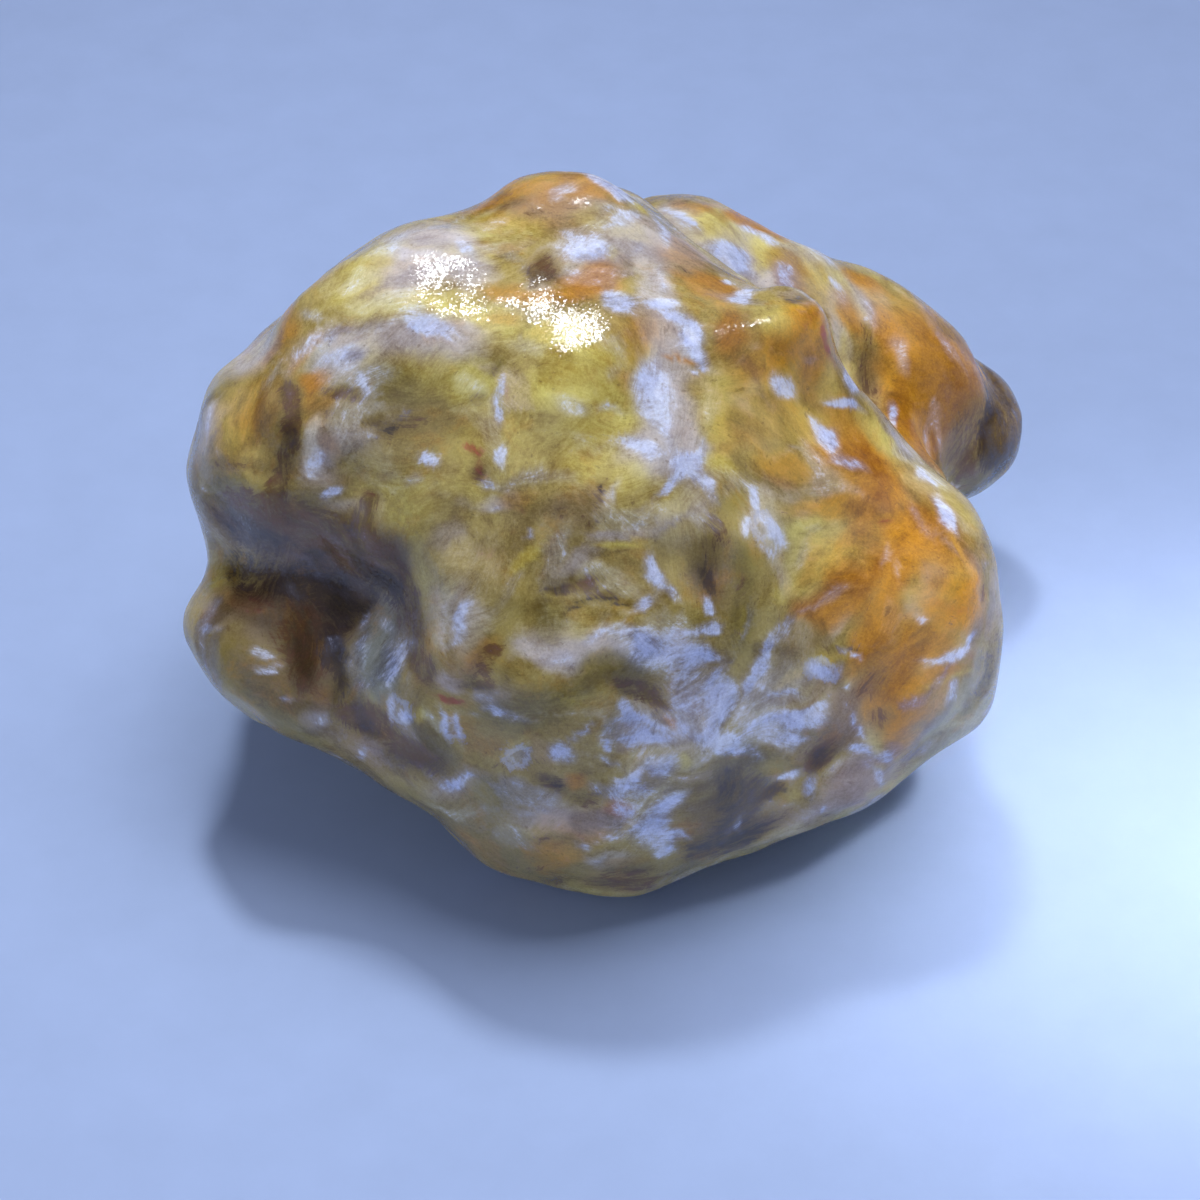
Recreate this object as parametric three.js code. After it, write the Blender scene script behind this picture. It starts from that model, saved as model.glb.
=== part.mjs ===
// A wave-worn nodule of botryoidal agate, about 28 mm long and 19 mm high, in one piece.
//
// The stone grew as a cluster of rounded lobes and was then tumbled smooth, so it is built the same way: a
// field of lobes blended into each other, worn hollows taken out of it, and a flat rubbed on its underside.
// The field is then covered with a mesh. Units are millimetres, +Z is up, and the origin lies on the flat
// that the stone rests on, under the middle of its broad show face.
import * as THREE from "three";

// ---- driving dimensions -------------------------------------------------------------------------

const MESH_STEP = 0.78; // side of the cells that the mesh is drawn through
const FACE_LIFT = THREE.MathUtils.degToRad(40); // how far the broad show face looks up from level
const FACE_CENTRE = new THREE.Vector3(0, -4.5, 11.6); // middle of the show face's plane
const RELAX_ROUNDS = 4; // how often the mesh is evened out
const FLAT_EDGE = 1.2; // how softly the underside rolls into the resting flat

// ---- the lobes and hollows, placed on the show face ---------------------------------------------

const FACE_UP = new THREE.Vector3(0, Math.sin(FACE_LIFT), Math.cos(FACE_LIFT));
const FACE_OUT = new THREE.Vector3(0, -Math.cos(FACE_LIFT), Math.sin(FACE_LIFT));

/** A point from its place on the show face: across to the right, up the face, and out of it. */
function onFace(across, up, out) {
  return new THREE.Vector3(across, 0, 0)
    .addScaledVector(FACE_UP, up)
    .addScaledVector(FACE_OUT, out)
    .add(FACE_CENTRE);
}

// An egg is an ellipsoid whose radii run across, up and out of the show face, turned in the face by `turn`
// degrees. A ridge is a tapered bar with round ends. `blend` is how widely a form melts into what comes
// before it. Places with a negative `out` lie behind the plane of the show face.
const LOBES = [
  { name: "body", egg: [-0.4, 0.2, -4.6], radii: [9.8, 8.2, 8.2], turn: -8, blend: 0 },
  { name: "belly", egg: [-0.2, -3.6, -2.6], radii: [6.6, 4.8, 5.3], turn: 0, blend: 3 },
  { name: "underside", egg: [0.4, -1.0, -8.6], radii: [8.8, 7.6, 7.4], turn: 0, blend: 4 },
  { name: "brow", ridge: [[-6.0, 5.7, -1.6], [-0.4, 4.9, 0.4]], radii: [3.2, 2.6], blend: 3 },
  { name: "upper brow", egg: [-4.9, 6.3, -3.7], radii: [3.7, 3.4, 4.0], turn: 20, blend: 3 },
  { name: "left shoulder", egg: [-8.0, 2.8, -4.4], radii: [4.9, 4.5, 5.0], turn: 34, blend: 3 },
  { name: "crown", egg: [-1.0, 8.2, -4.6], radii: [3.5, 3.4, 3.8], turn: 0, blend: 3.6 },
  { name: "crown slope", egg: [2.6, 6.0, -3.4], radii: [3.0, 2.6, 3.0], turn: -30, blend: 3 },
  { name: "left foot", egg: [-9.5, -3.0, -4.4], radii: [3.7, 2.8, 3.4], turn: -24, blend: 1.6 },
  { name: "left hem", ridge: [[-8.0, -3.9, -4.0], [-3.2, -5.8, -3.2]], radii: [2.6, 3.1], blend: 2.4 },
  { name: "chin", egg: [-0.2, -7.2, -3.6], radii: [4.4, 3.6, 4.2], turn: -6, blend: 3 },
  { name: "right hem", ridge: [[1.6, -6.7, -3.4], [6.5, -5.9, -3.8]], radii: [3.3, 3.0], blend: 2.6 },
  { name: "right cheek", egg: [8.0, -1.9, -3.6], radii: [4.6, 4.8, 4.4], turn: 0, blend: 3 },
  { name: "right heel", egg: [10.2, -4.1, -5.4], radii: [2.3, 2.3, 2.6], turn: 0, blend: 1.8 },
  { name: "knob", ridge: [[3.6, 5.0, -0.5], [5.7, 6.3, -0.7]], radii: [2.1, 1.3], blend: 1.8 },
  { name: "knob root", ridge: [[5.8, 5.4, -2.0], [7.2, 0.8, -3.4]], radii: [1.4, 2.6], blend: 2.2 },
  { name: "back left", egg: [-3.4, 4.4, -10.6], radii: [5.4, 4.6, 4.6], turn: 0, blend: 3 },
  { name: "back right", egg: [4.0, 3.8, -12.4], radii: [5.0, 5.0, 4.6], turn: 0, blend: 3 },
  { name: "left flank", egg: [-7.6, 1.0, -8.8], radii: [4.3, 4.4, 4.4], turn: 0, blend: 3 },
  { name: "right flank", egg: [6.6, -1.2, -9.2], radii: [4.4, 4.4, 4.4], turn: 0, blend: 3 },
  { name: "back ridge", ridge: [[2.4, 7.9, -10.4], [8.6, 6.0, -12.4]], radii: [3.7, 3.1], blend: 2.4 },
  { name: "tail", ridge: [[9.4, 5.0, -12.8], [11.0, 4.2, -14.4]], radii: [3.1, 3.0], blend: 2.6 },
  { name: "tail tip", egg: [12.8, 4.0, -15.0], radii: [1.7, 1.9, 2.0], turn: 0, blend: 1.8 },
];

// Smaller lobes of the cluster, on the far side: across, up, out and radius.
const GRAPES = [
  [-6.0, 5.4, -9.4, 3.3],
  [-1.6, 6.4, -11.2, 3.4],
  [-8.6, 1.8, -10.6, 3.0],
  [-4.4, 2.8, -13.4, 3.4],
  [1.4, 4.6, -14.2, 3.3],
  [5.4, 2.6, -15.0, 3.0],
  [8.4, 0.6, -9.6, 3.1],
  [-9.2, 1.2, -6.6, 3.1],
  [-0.8, -0.4, -14.0, 3.4],
];
const GRAPE_BLEND = 2.4;

const HOLLOWS = [
  { name: "left valley", ridge: [[-14.0, -0.7, -2.2], [-7.8, -2.1, 2.2]], radii: [1.6, 1.9], blend: 2.4 },
  { name: "valley end", ridge: [[-7.5, -2.9, 2.2], [-6.5, -5.0, 2.6]], radii: [1.7, 1.2], blend: 2.2 },
];

// Low dimples left by the tumbling: how far apart they lie and how high they stand.
const DIMPLES = [
  { span: 4.6, height: 0.1 },
  { span: 2.3, height: 0.045 },
];

// ---- the field ----------------------------------------------------------------------------------

/** Distance from a point to an ellipsoid's surface, near enough for blending. */
function eggDistance(point, form) {
  const [a, b, c] = form.radii;
  const local = point.clone().sub(form.centre).applyQuaternion(form.untwist);
  const scaled = Math.hypot(local.x / a, local.y / b, local.z / c);
  const steep = Math.hypot(local.x / (a * a), local.y / (b * b), local.z / (c * c));
  return steep === 0 ? -Math.min(a, b, c) : (scaled * (scaled - 1)) / steep;
}

/** Distance from a point to a tapered bar's surface. */
function ridgeDistance(point, form) {
  const along = form.span.dot(point.clone().sub(form.start)) / form.span.lengthSq();
  const t = THREE.MathUtils.clamp(along, 0, 1);
  const nearest = form.start.clone().addScaledVector(form.span, t);
  return point.distanceTo(nearest) - THREE.MathUtils.lerp(form.radii[0], form.radii[1], t);
}

/** Works out a form's place in the stone's own axes once, ahead of sampling. */
function settle(form) {
  if (form.ridge) {
    const [start, end] = form.ridge.map((place) => onFace(...place));
    return { ...form, start, span: end.sub(start), distance: ridgeDistance };
  }
  const tilt = new THREE.Matrix4().makeBasis(new THREE.Vector3(1, 0, 0), FACE_UP, FACE_OUT);
  const twist = new THREE.Quaternion()
    .setFromRotationMatrix(tilt)
    .multiply(new THREE.Quaternion().setFromAxisAngle(
      new THREE.Vector3(0, 0, 1),
      THREE.MathUtils.degToRad(form.turn),
    ));
  return { ...form, centre: onFace(...form.egg), untwist: twist.invert(), distance: eggDistance };
}

/** The smaller of two distances, with the crease between them filled over a width of `blend`. */
function melt(a, b, blend) {
  if (blend === 0) return Math.min(a, b);
  const near = Math.max(blend - Math.abs(a - b), 0) / blend;
  return Math.min(a, b) - (near ** 3 * blend) / 6;
}

const grapes = GRAPES.map(([across, up, out, radius], index) => ({
  name: `grape ${index + 1}`,
  egg: [across, up, out],
  radii: [radius, radius, radius],
  turn: 0,
  blend: GRAPE_BLEND,
}));
const lobes = [...LOBES, ...grapes].map(settle);
const hollows = HOLLOWS.map(settle);

/** The height of the tumbled dimples at a point, on a rolling pattern that never lines up with the axes. */
function dimples(point) {
  return DIMPLES.reduce((height, { span, height: rise }) => {
    const turn = (2 * Math.PI) / span;
    const x = turn * (0.8 * point.x + 0.6 * point.y) + 1.3 * Math.sin(0.37 * turn * point.z);
    const y = turn * (0.48 * point.x - 0.64 * point.y + 0.6 * point.z) + 1.1 * Math.sin(0.41 * x);
    const z = turn * (0.36 * point.x - 0.48 * point.y - 0.8 * point.z) + 0.9 * Math.sin(0.33 * y);
    const roll = Math.sin(x) * Math.cos(y) + Math.sin(y) * Math.cos(z) + Math.sin(z) * Math.cos(x);
    return height + rise * roll;
  }, 0);
}

/** Negative inside the stone, positive outside, and near its surface close to the distance in mm. */
function stone(point) {
  let depth = Infinity;
  for (const lobe of lobes) depth = melt(depth, lobe.distance(point, lobe), lobe.blend);
  for (const hollow of hollows) depth = -melt(-depth, hollow.distance(point, hollow), hollow.blend);
  return -melt(-depth - dimples(point), point.z, FLAT_EDGE);
}

// ---- covering the field with a mesh -------------------------------------------------------------

/** Moves a point along the field's slope until it lies on the surface. */
function settleOnSurface(point, field) {
  const reach = 1e-3;
  for (let round = 0; round < 4; round += 1) {
    const height = field(point);
    const slope = new THREE.Vector3(
      ...["x", "y", "z"].map((axis) => {
        const ahead = point.clone();
        ahead[axis] += reach;
        return (field(ahead) - height) / reach;
      }),
    );
    point.addScaledVector(slope, -height / slope.lengthSq());
  }
  return point;
}

/** Evens out the triangles: each vertex slides to the middle of its neighbours and back onto the surface. */
function relax(positions, triangles, field) {
  const neighbours = Array.from({ length: positions.length / 3 }, () => new Set());
  for (let start = 0; start < triangles.length; start += 3) {
    const [a, b, c] = triangles.slice(start, start + 3);
    neighbours[a].add(b).add(c);
    neighbours[b].add(c).add(a);
    neighbours[c].add(a).add(b);
  }
  for (let round = 0; round < RELAX_ROUNDS; round += 1) {
    neighbours.forEach((ring, vertex) => {
      const middle = new THREE.Vector3();
      for (const other of ring) middle.add(new THREE.Vector3().fromArray(positions, other * 3));
      settleOnSurface(middle.divideScalar(ring.size), field).toArray(positions, vertex * 3);
    });
  }
}

/**
 * A closed mesh of the field: one vertex in every cell that the surface crosses, and one quad round every
 * cell edge that it crosses.
 */
function surfaceNet(field, bounds, step) {
  const size = bounds.getSize(new THREE.Vector3());
  const counts = [size.x, size.y, size.z].map((length) => Math.ceil(length / step) + 1);
  const strides = [1, counts[0], counts[0] * counts[1]];
  const values = new Float64Array(counts[0] * counts[1] * counts[2]);
  const place = (i, j, k) => new THREE.Vector3(i, j, k).multiplyScalar(step).add(bounds.min);
  const everyCell = (visit, margin) => {
    for (let k = 0; k < counts[2] - margin; k += 1)
      for (let j = 0; j < counts[1] - margin; j += 1)
        for (let i = 0; i < counts[0] - margin; i += 1)
          visit(i + j * strides[1] + k * strides[2], [i, j, k]);
  };
  everyCell((cell, [i, j, k]) => {
    values[cell] = field(place(i, j, k));
  }, 0);

  const positions = [];
  const vertexOf = new Map();
  everyCell((cell, [i, j, k]) => {
    const middle = new THREE.Vector3();
    let crossings = 0;
    for (let corner = 0; corner < 8; corner += 1) {
      for (let axis = 0; axis < 3; axis += 1) {
        if (corner & (1 << axis)) continue;
        const low = [i + (corner & 1), j + ((corner >> 1) & 1), k + (corner >> 2)];
        const from = low[0] + low[1] * strides[1] + low[2] * strides[2];
        const [a, b] = [values[from], values[from + strides[axis]]];
        if (a < 0 === b < 0) continue;
        const crossing = place(...low);
        crossing.setComponent(axis, crossing.getComponent(axis) + (step * a) / (a - b));
        middle.add(crossing);
        crossings += 1;
      }
    }
    if (crossings === 0) return;
    const vertex = settleOnSurface(middle.divideScalar(crossings), field);
    vertexOf.set(cell, positions.length / 3);
    positions.push(vertex.x, vertex.y, vertex.z);
  }, 1);

  const triangles = [];
  const corner = (index) => new THREE.Vector3().fromArray(positions, index * 3);
  everyCell((cell, index) => {
    for (let axis = 0; axis < 3; axis += 1) {
      const [beside, behind] = [(axis + 1) % 3, (axis + 2) % 3];
      if (index[beside] === 0 || index[behind] === 0) continue;
      const solid = values[cell] < 0;
      if (solid === values[cell + strides[axis]] < 0) continue;
      const ring = [
        cell,
        cell - strides[beside],
        cell - strides[beside] - strides[behind],
        cell - strides[behind],
      ].map((neighbour) => vertexOf.get(neighbour));
      if (!solid) ring.reverse();
      const [a, b, c, d] = ring;
      const cutAcross = corner(a).distanceTo(corner(c)) < corner(b).distanceTo(corner(d));
      triangles.push(...(cutAcross ? [a, b, c, a, c, d] : [b, c, d, b, d, a]));
    }
  }, 1);

  relax(positions, triangles, field);

  const geometry = new THREE.BufferGeometry();
  geometry.setAttribute("position", new THREE.Float32BufferAttribute(positions, 3));
  geometry.setIndex(triangles);
  geometry.computeVertexNormals();
  return geometry;
}

// ---- the part -----------------------------------------------------------------------------------

const reach = new THREE.Box3(new THREE.Vector3(-16, -16, -1.1), new THREE.Vector3(17, 20, 24));
const agate = new THREE.MeshStandardMaterial({ color: 0xa98a3c, roughness: 0.32, metalness: 0 });

const nodule = new THREE.Mesh(surfaceNet(stone, reach, MESH_STEP), agate);
nodule.name = "agate_nodule";

const part = new THREE.Group();
part.name = "botryoidal_agate";
part.add(nodule);

export default part;
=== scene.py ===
"""A wave-worn agate nodule on a pale floor, laid out as a Blender add-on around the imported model.

The stone is one piece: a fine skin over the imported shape, with low relief. Its minerals lie in patches on the
skin, and its fibres in bundles along it.
"""
import math
import random

import bmesh
import bpy
import numpy as np
from mathutils import Matrix, Vector, noise
from mathutils.bvhtree import BVHTree
from mathutils.kdtree import KDTree


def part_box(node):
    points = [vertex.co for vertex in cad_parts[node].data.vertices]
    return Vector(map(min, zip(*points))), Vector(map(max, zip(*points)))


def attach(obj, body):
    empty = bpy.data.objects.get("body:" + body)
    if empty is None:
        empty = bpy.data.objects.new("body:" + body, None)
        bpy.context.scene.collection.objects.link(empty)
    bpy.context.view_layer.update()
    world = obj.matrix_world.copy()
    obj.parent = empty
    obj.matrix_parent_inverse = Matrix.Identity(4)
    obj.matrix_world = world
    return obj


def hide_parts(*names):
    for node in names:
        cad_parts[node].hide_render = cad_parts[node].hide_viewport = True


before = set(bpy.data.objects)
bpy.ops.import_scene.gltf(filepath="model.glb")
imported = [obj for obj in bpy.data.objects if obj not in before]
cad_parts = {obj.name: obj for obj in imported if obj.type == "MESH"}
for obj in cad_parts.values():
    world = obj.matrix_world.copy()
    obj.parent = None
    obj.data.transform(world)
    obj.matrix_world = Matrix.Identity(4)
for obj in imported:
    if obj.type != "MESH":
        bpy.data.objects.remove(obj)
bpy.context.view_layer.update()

bl_info = {
    "name": "Agate nodule",
    "version": (1, 0, 0),
    "blender": (4, 5, 0),
    "location": "View3D > Sidebar > Agate",
    "description": "A wave-worn agate nodule with its minerals in patches, on a pale floor",
    "category": "Add Mesh",
}

STONE_NODE = "agate_nodule"
STONE_LOW, STONE_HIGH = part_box(STONE_NODE)
MM = 0.001

# The broad front face leans back, and places on it are given across it, up it and out from it, in mm.
FACE_LIFT = math.radians(40.0)
ACROSS = Vector((1.0, 0.0, 0.0))
UP_FACE = Vector((0.0, math.sin(FACE_LIFT), math.cos(FACE_LIFT)))
OUT = Vector((0.0, -math.cos(FACE_LIFT), math.sin(FACE_LIFT)))
FACE_CENTRE = Vector((0.0, 0.42 * STONE_LOW.y, 0.624 * STONE_HIGH.z)) / MM
AIM_BELOW_CENTRE = 1.8
EYE_REACH = 100.0
AIM = FACE_CENTRE - UP_FACE * AIM_BELOW_CENTRE
EYE = AIM + OUT * EYE_REACH

# Each mineral's patches on the front: across, up, length, width (mm), turn (degrees), strength (0 to 1).
PATCHES = {
    "veil": [
        # crown and brow
        (1.1, 9.0, 2.0, 1.6, 0, 0.8), (1.6, 8.1, 1.6, 1.2, 90, 0.6), (-0.3, 8.5, 2.2, 1.2, -10, 0.6),
        (-1.9, 7.6, 1.0, 0.5, 0, 0.5), (-5.2, 9.1, 3.0, 1.0, 8, 0.9), (-4.0, 8.4, 1.8, 1.3, -55, 0.7),
        # The wide row at (-5.8, 8.2) is cloudy chalcedony and painted sheen: the pale glow round the highlight
        # on the brow.
        (-5.0, 6.0, 3.4, 1.6, -5, 0.8), (-5.8, 8.2, 4.0, 1.8, 28, 0.8), (1.7, 7.3, 1.6, 1.2, 80, 0.5),
        (2.5, 8.6, 1.6, 1.2, -35, 0.5),
        # left shoulder
        (-7.6, 5.7, 2.2, 1.6, 20, 0.8), (-10.4, 5.5, 2.2, 1.1, 20, 0.75), (-11.6, 3.6, 1.5, 0.8, 80, 0.7),
        (-8.4, 2.6, 2.4, 1.4, 90, 0.6), (-7.6, 1.0, 1.6, 0.5, -15, 0.7), (-7.3, 3.0, 1.4, 1.0, 0, 0.5),
        (-3.2, 3.4, 1.8, 0.7, -60, 0.35),
        # middle
        (2.0, 4.6, 4.8, 1.8, 100, 0.8), (2.0, 2.6, 2.8, 1.8, 0, 0.8), (-3.2, 1.1, 1.2, 0.5, 5, 0.7),
        (0.3, 1.6, 0.8, 0.35, 55, 0.8), (0.6, 0.2, 2.4, 0.4, 0, 0.6), (-4.0, -0.5, 3.0, 1.5, 0, 0.2),
        (-4.4, -2.2, 2.2, 1.6, 60, 0.55), (-0.8, -0.8, 1.4, 0.7, 30, 0.4), (2.6, 0.6, 1.6, 1.4, 0, 0.4),
        # valley and left foot
        # The thin row at (-8.9, -0.7) is painted sheen: light reflected along the floor of the valley.
        (-8.9, -0.7, 2.4, 0.6, -18, 0.3), (-11.3, 0.4, 1.6, 0.3, -25, 0.3),
        (-10.9, -0.3, 1.6, 0.3, -32, 0.25), (-11.6, -2.3, 1.2, 0.9, 90, 0.4),
        (-10.2, -2.4, 2.0, 1.0, -10, 0.3), (-10.0, -3.6, 1.8, 1.2, 0, 0.25), (-8.4, -5.4, 1.0, 0.8, 0, 0.7),
        (-4.5, -4.2, 1.2, 0.6, -10, 0.7), (-6.9, -6.3, 1.0, 0.6, -20, 0.6),
        # below the middle
        (-0.4, -3.2, 3.8, 1.1, -8, 0.85), (-1.2, -3.7, 1.6, 0.9, 0, 0.7), (-2.2, -3.4, 1.4, 0.7, -20, 0.6),
        (2.8, -5.0, 1.8, 1.6, 60, 0.6), (1.6, -5.6, 2.4, 1.1, -12, 0.6), (-1.8, -8.2, 2.6, 0.8, 12, 0.6),
        (-0.4, -8.4, 2.2, 0.9, 0, 0.5), (-4.4, -7.4, 2.0, 0.8, 10, 0.6), (0.3, -9.6, 1.6, 0.6, 0, 0.45),
        (-3.2, -4.7, 1.4, 0.6, 5, 0.5), (4.9, -4.6, 2.4, 1.6, 50, 0.45), (6.4, -4.4, 2.2, 1.4, 20, 0.35),
        # cheek
        (6.2, 5.3, 1.0, 0.7, 0, 0.3), (4.6, 4.5, 0.8, 0.5, 20, 0.3), (6.8, 3.1, 1.8, 0.8, -50, 0.4),
        (5.0, 0.6, 2.2, 1.2, 95, 0.4), (5.6, -1.2, 1.4, 0.5, -60, 0.5), (10.2, -1.3, 1.8, 0.9, -80, 0.4),
        (9.6, -2.2, 1.4, 0.7, 40, 0.3), (11.0, -0.5, 1.4, 0.6, -70, 0.4), (11.9, -1.8, 2.2, 0.5, 88, 0.6),
        (7.2, -2.3, 2.4, 0.4, 50, 0.3), (9.3, 1.3, 1.2, 0.5, -60, 0.3), (10.2, -3.5, 2.4, 1.0, 15, 0.3),
        (7.6, -7.4, 2.4, 1.5, 30, 0.5), (6.3, -8.3, 1.4, 0.8, 15, 0.4), (8.0, -6.0, 2.0, 1.0, -70, 0.3),
        # rear lobes
        (2.7, 9.7, 2.4, 0.7, -20, 0.9), (4.6, 8.2, 2.6, 1.4, -30, 1.0), (5.7, 7.9, 1.4, 0.9, -60, 1.0),
        (6.2, 8.7, 1.8, 0.9, -30, 0.9), (7.3, 7.3, 1.6, 1.1, -50, 0.7), (8.3, 7.0, 1.6, 0.9, -60, 0.6),
        (7.2, 5.8, 3.0, 0.5, -78, 0.8), (9.1, 5.7, 1.6, 0.7, -70, 0.6), (9.0, 3.0, 1.2, 0.5, -40, 0.6),
        # broad thin stains
        (3.2, 9.5, 3.0, 1.6, -15, 0.8), (5.0, 8.8, 2.6, 1.6, -30, 0.7), (7.0, 7.6, 2.0, 1.4, -50, 0.5),
    ],
    "mauve": [
        (-1.3, 10.1, 3.4, 1.6, 5, 0.9), (2.4, 8.4, 2.2, 1.2, -40, 0.4), (-1.5, 8.2, 1.8, 1.1, 20, 0.6),
        (-11.0, 0.2, 2.2, 1.0, -20, 0.7), (-10.4, -2.4, 2.4, 1.4, -10, 0.6),
        (-9.9, -4.0, 2.2, 1.4, -20, 0.5), (-8.4, 2.4, 2.0, 1.2, 90, 0.3), (-7.4, -6.2, 2.6, 0.8, -30, 0.6),
        (-0.8, 1.0, 2.4, 1.4, 30, 0.5), (-0.9, 9.4, 2.4, 1.0, 0, 0.5), (-4.2, -3.6, 2.0, 1.2, 60, 0.6),
        (-0.8, -8.4, 3.0, 1.0, 5, 0.6), (7.6, -5.2, 2.6, 1.8, 40, 0.9), (7.8, -7.3, 2.6, 1.4, 30, 0.9),
        (9.4, -5.6, 2.0, 1.2, 60, 0.8), (5.6, -8.4, 2.2, 0.8, 15, 0.6), (11.2, -2.4, 2.6, 0.8, 85, 0.7),
        (10.0, 1.2, 2.4, 0.8, -50, 0.6), (4.8, 3.2, 1.6, 1.0, -20, 0.4), (8.2, 4.6, 2.6, 0.8, 88, 0.6),
        (10.6, 3.0, 2.4, 1.6, 60, 0.4), (3.6, 8.4, 2.0, 1.0, -35, 0.25), (6.0, -3.0, 1.6, 1.0, 30, 0.4),
        (-10.8, -2.2, 2.6, 2.0, 0, 0.5),
    ],
    "olive": [
        (-6.4, 4.5, 2.8, 1.3, 15, 0.6), (-5.0, 4.4, 2.0, 1.0, 0, 0.5), (-3.2, 5.0, 0.7, 0.4, 20, 0.8),
        (-11.3, 4.6, 1.6, 0.9, 30, 0.6), (-11.0, 2.9, 2.4, 1.0, 10, 0.6), (-11.4, 1.7, 1.6, 0.7, -5, 0.8),
        (-7.2, 2.3, 2.0, 1.4, 10, 0.5), (-8.3, 1.3, 1.6, 0.7, 15, 0.65), (-5.4, 0.3, 2.6, 1.3, 85, 0.6),
        (-5.0, 3.0, 2.4, 1.4, -5, 0.45), (-3.8, 4.3, 1.6, 1.2, 0, 0.5), (4.2, 1.4, 1.4, 1.0, 80, 0.6),
        (4.6, 3.5, 2.2, 1.0, -10, 0.35), (4.2, -0.6, 1.8, 1.0, 100, 0.7), (4.3, -2.2, 2.8, 1.0, 88, 0.7),
        (2.4, -2.4, 2.4, 0.8, -5, 0.5), (2.6, 0.2, 2.0, 1.2, 20, 0.4), (0.6, -3.8, 2.8, 1.0, 5, 1.0),
        (-1.0, -4.6, 2.0, 0.8, 10, 0.8), (-1.6, -2.5, 1.3, 1.0, 70, 0.7), (-2.6, -5.3, 2.8, 1.3, 0, 0.85),
        (-3.6, -7.9, 2.4, 1.8, 0, 0.55), (-4.8, -6.2, 1.8, 0.9, -20, 0.6), (-5.4, -7.9, 3.0, 0.8, -25, 0.75),
        (-2.6, -9.2, 1.8, 0.8, -20, 0.7), (-7.6, -6.7, 3.6, 0.5, -32, 0.6), (-9.9, -4.7, 1.8, 0.8, -30, 0.7),
        (-9.5, -5.5, 1.8, 0.6, -35, 0.7), (-10.9, -3.2, 1.4, 1.2, 0, 0.4), (2.6, -9.8, 2.0, 0.6, 20, 0.6),
        (4.8, -6.5, 2.2, 0.9, -10, 0.7), (4.2, -7.8, 2.8, 2.0, 80, 0.6), (0.4, -5.5, 0.8, 0.6, 0, 0.5),
        (7.4, -3.4, 2.4, 1.0, -10, 0.5), (10.8, -4.9, 1.8, 1.0, -40, 0.6), (9.7, -5.4, 1.4, 1.0, -70, 0.5),
        (-8.9, -2.3, 1.8, 1.0, 0, 0.5),
        # broad shade on the left foot
        (-10.6, -3.2, 3.4, 3.0, 0, 0.6), (-9.2, -5.2, 3.4, 1.4, -30, 0.5),
    ],
    "lemon": [
        # crown and brow
        (-6.9, 8.4, 2.0, 0.9, 30, 0.7), (-3.4, 9.5, 1.8, 0.9, 10, 0.5), (-2.5, 9.2, 2.2, 1.0, 15, 0.5),
        (-7.4, 7.5, 1.8, 1.2, 10, 0.5), (-5.4, 6.9, 4.4, 0.8, -3, 0.6), (-3.3, 6.6, 1.8, 0.7, -20, 0.6),
        (0.4, 8.5, 0.6, 0.5, 0, 0.6), (-0.2, 9.6, 1.6, 0.8, 0, 0.5), (1.2, 9.9, 1.2, 0.4, -30, 0.5),
        # middle
        (-0.3, 4.6, 2.6, 1.4, -10, 1.0), (-1.9, 4.3, 1.6, 0.9, 0, 0.6), (-2.0, 6.1, 3.2, 1.2, 0, 0.4),
        (0.6, 5.6, 1.8, 1.0, 0, 0.7), (0.1, 3.4, 2.6, 1.0, 10, 0.9), (-0.4, 2.6, 2.2, 1.2, 20, 0.5),
        (-4.6, 4.8, 3.0, 1.2, -5, 0.6), (-5.6, 5.4, 2.0, 0.8, 0, 0.4), (0.9, 2.0, 1.6, 0.9, 20, 0.6),
        (3.4, 4.0, 1.8, 1.2, 95, 0.5), (3.6, 5.0, 1.2, 0.7, 70, 0.4), (3.6, 2.3, 1.2, 0.7, -30, 0.7),
        (2.3, 1.0, 1.6, 0.7, 15, 0.5), (-2.3, -0.5, 1.0, 0.5, 40, 0.9), (0.6, -0.15, 1.8, 0.25, 5, 0.8),
        (-5.5, 0.8, 2.4, 1.0, 88, 0.45), (-6.1, 1.7, 0.9, 0.5, 30, 0.5), (-10.8, 3.0, 2.0, 0.8, 5, 0.3),
        # cheek
        # The row at (5.8, 6.2) is yellow chalcedony and painted light, lifting the shaded right side of the
        # knob.
        (6.4, 3.8, 1.1, 0.6, -20, 0.85), (5.8, 6.2, 2.0, 1.6, 60, 0.9), (-3.6, 4.4, 1.8, 1.2, 0, 0.6),
        (7.6, 1.7, 1.4, 0.7, 0, 0.5), (6.3, -0.6, 1.8, 1.4, 40, 0.6), (6.0, 0.3, 1.2, 0.5, 20, 0.6),
        (7.3, -0.3, 1.2, 0.7, 50, 0.5), (6.7, -3.6, 0.6, 0.3, 0, 0.8), (10.4, -4.2, 2.0, 0.25, 10, 0.8),
        (8.5, 3.0, 1.0, 0.5, -35, 0.4), (5.8, -1.7, 1.2, 0.7, 0, 0.5),
        # foot
        (-6.8, -4.8, 0.6, 0.3, 100, 0.7), (-5.3, -5.5, 0.5, 0.3, 100, 0.85), (2.6, -6.6, 0.6, 0.4, 0, 0.6),
        (0.6, -6.2, 1.6, 0.8, -20, 0.35),
        # rear lobes
        (3.4, 9.7, 1.2, 0.7, -10, 0.9), (5.0, 8.6, 1.2, 1.0, 80, 0.95), (7.0, 7.8, 0.8, 0.5, -60, 0.7),
        (7.3, 5.5, 1.6, 0.4, -80, 0.7), (8.9, 4.4, 1.6, 1.0, 80, 0.4),
        # broad thin stains
        (6.0, 8.6, 2.6, 1.6, -30, 0.5), (3.6, 9.2, 2.4, 1.2, -20, 0.5), (5.6, 4.0, 3.0, 2.0, -60, 0.5),
        (-2.4, 2.4, 4.6, 3.0, 10, 0.35), (-6.4, 1.0, 2.6, 2.6, 0, 0.35), (-0.6, 5.2, 4.4, 2.4, 0, 0.4),
        (3.2, 9.6, 2.6, 1.0, -15, 0.6), (7.0, 7.4, 2.0, 1.2, -50, 0.5),
    ],
    "amber": [
        # crown
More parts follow.
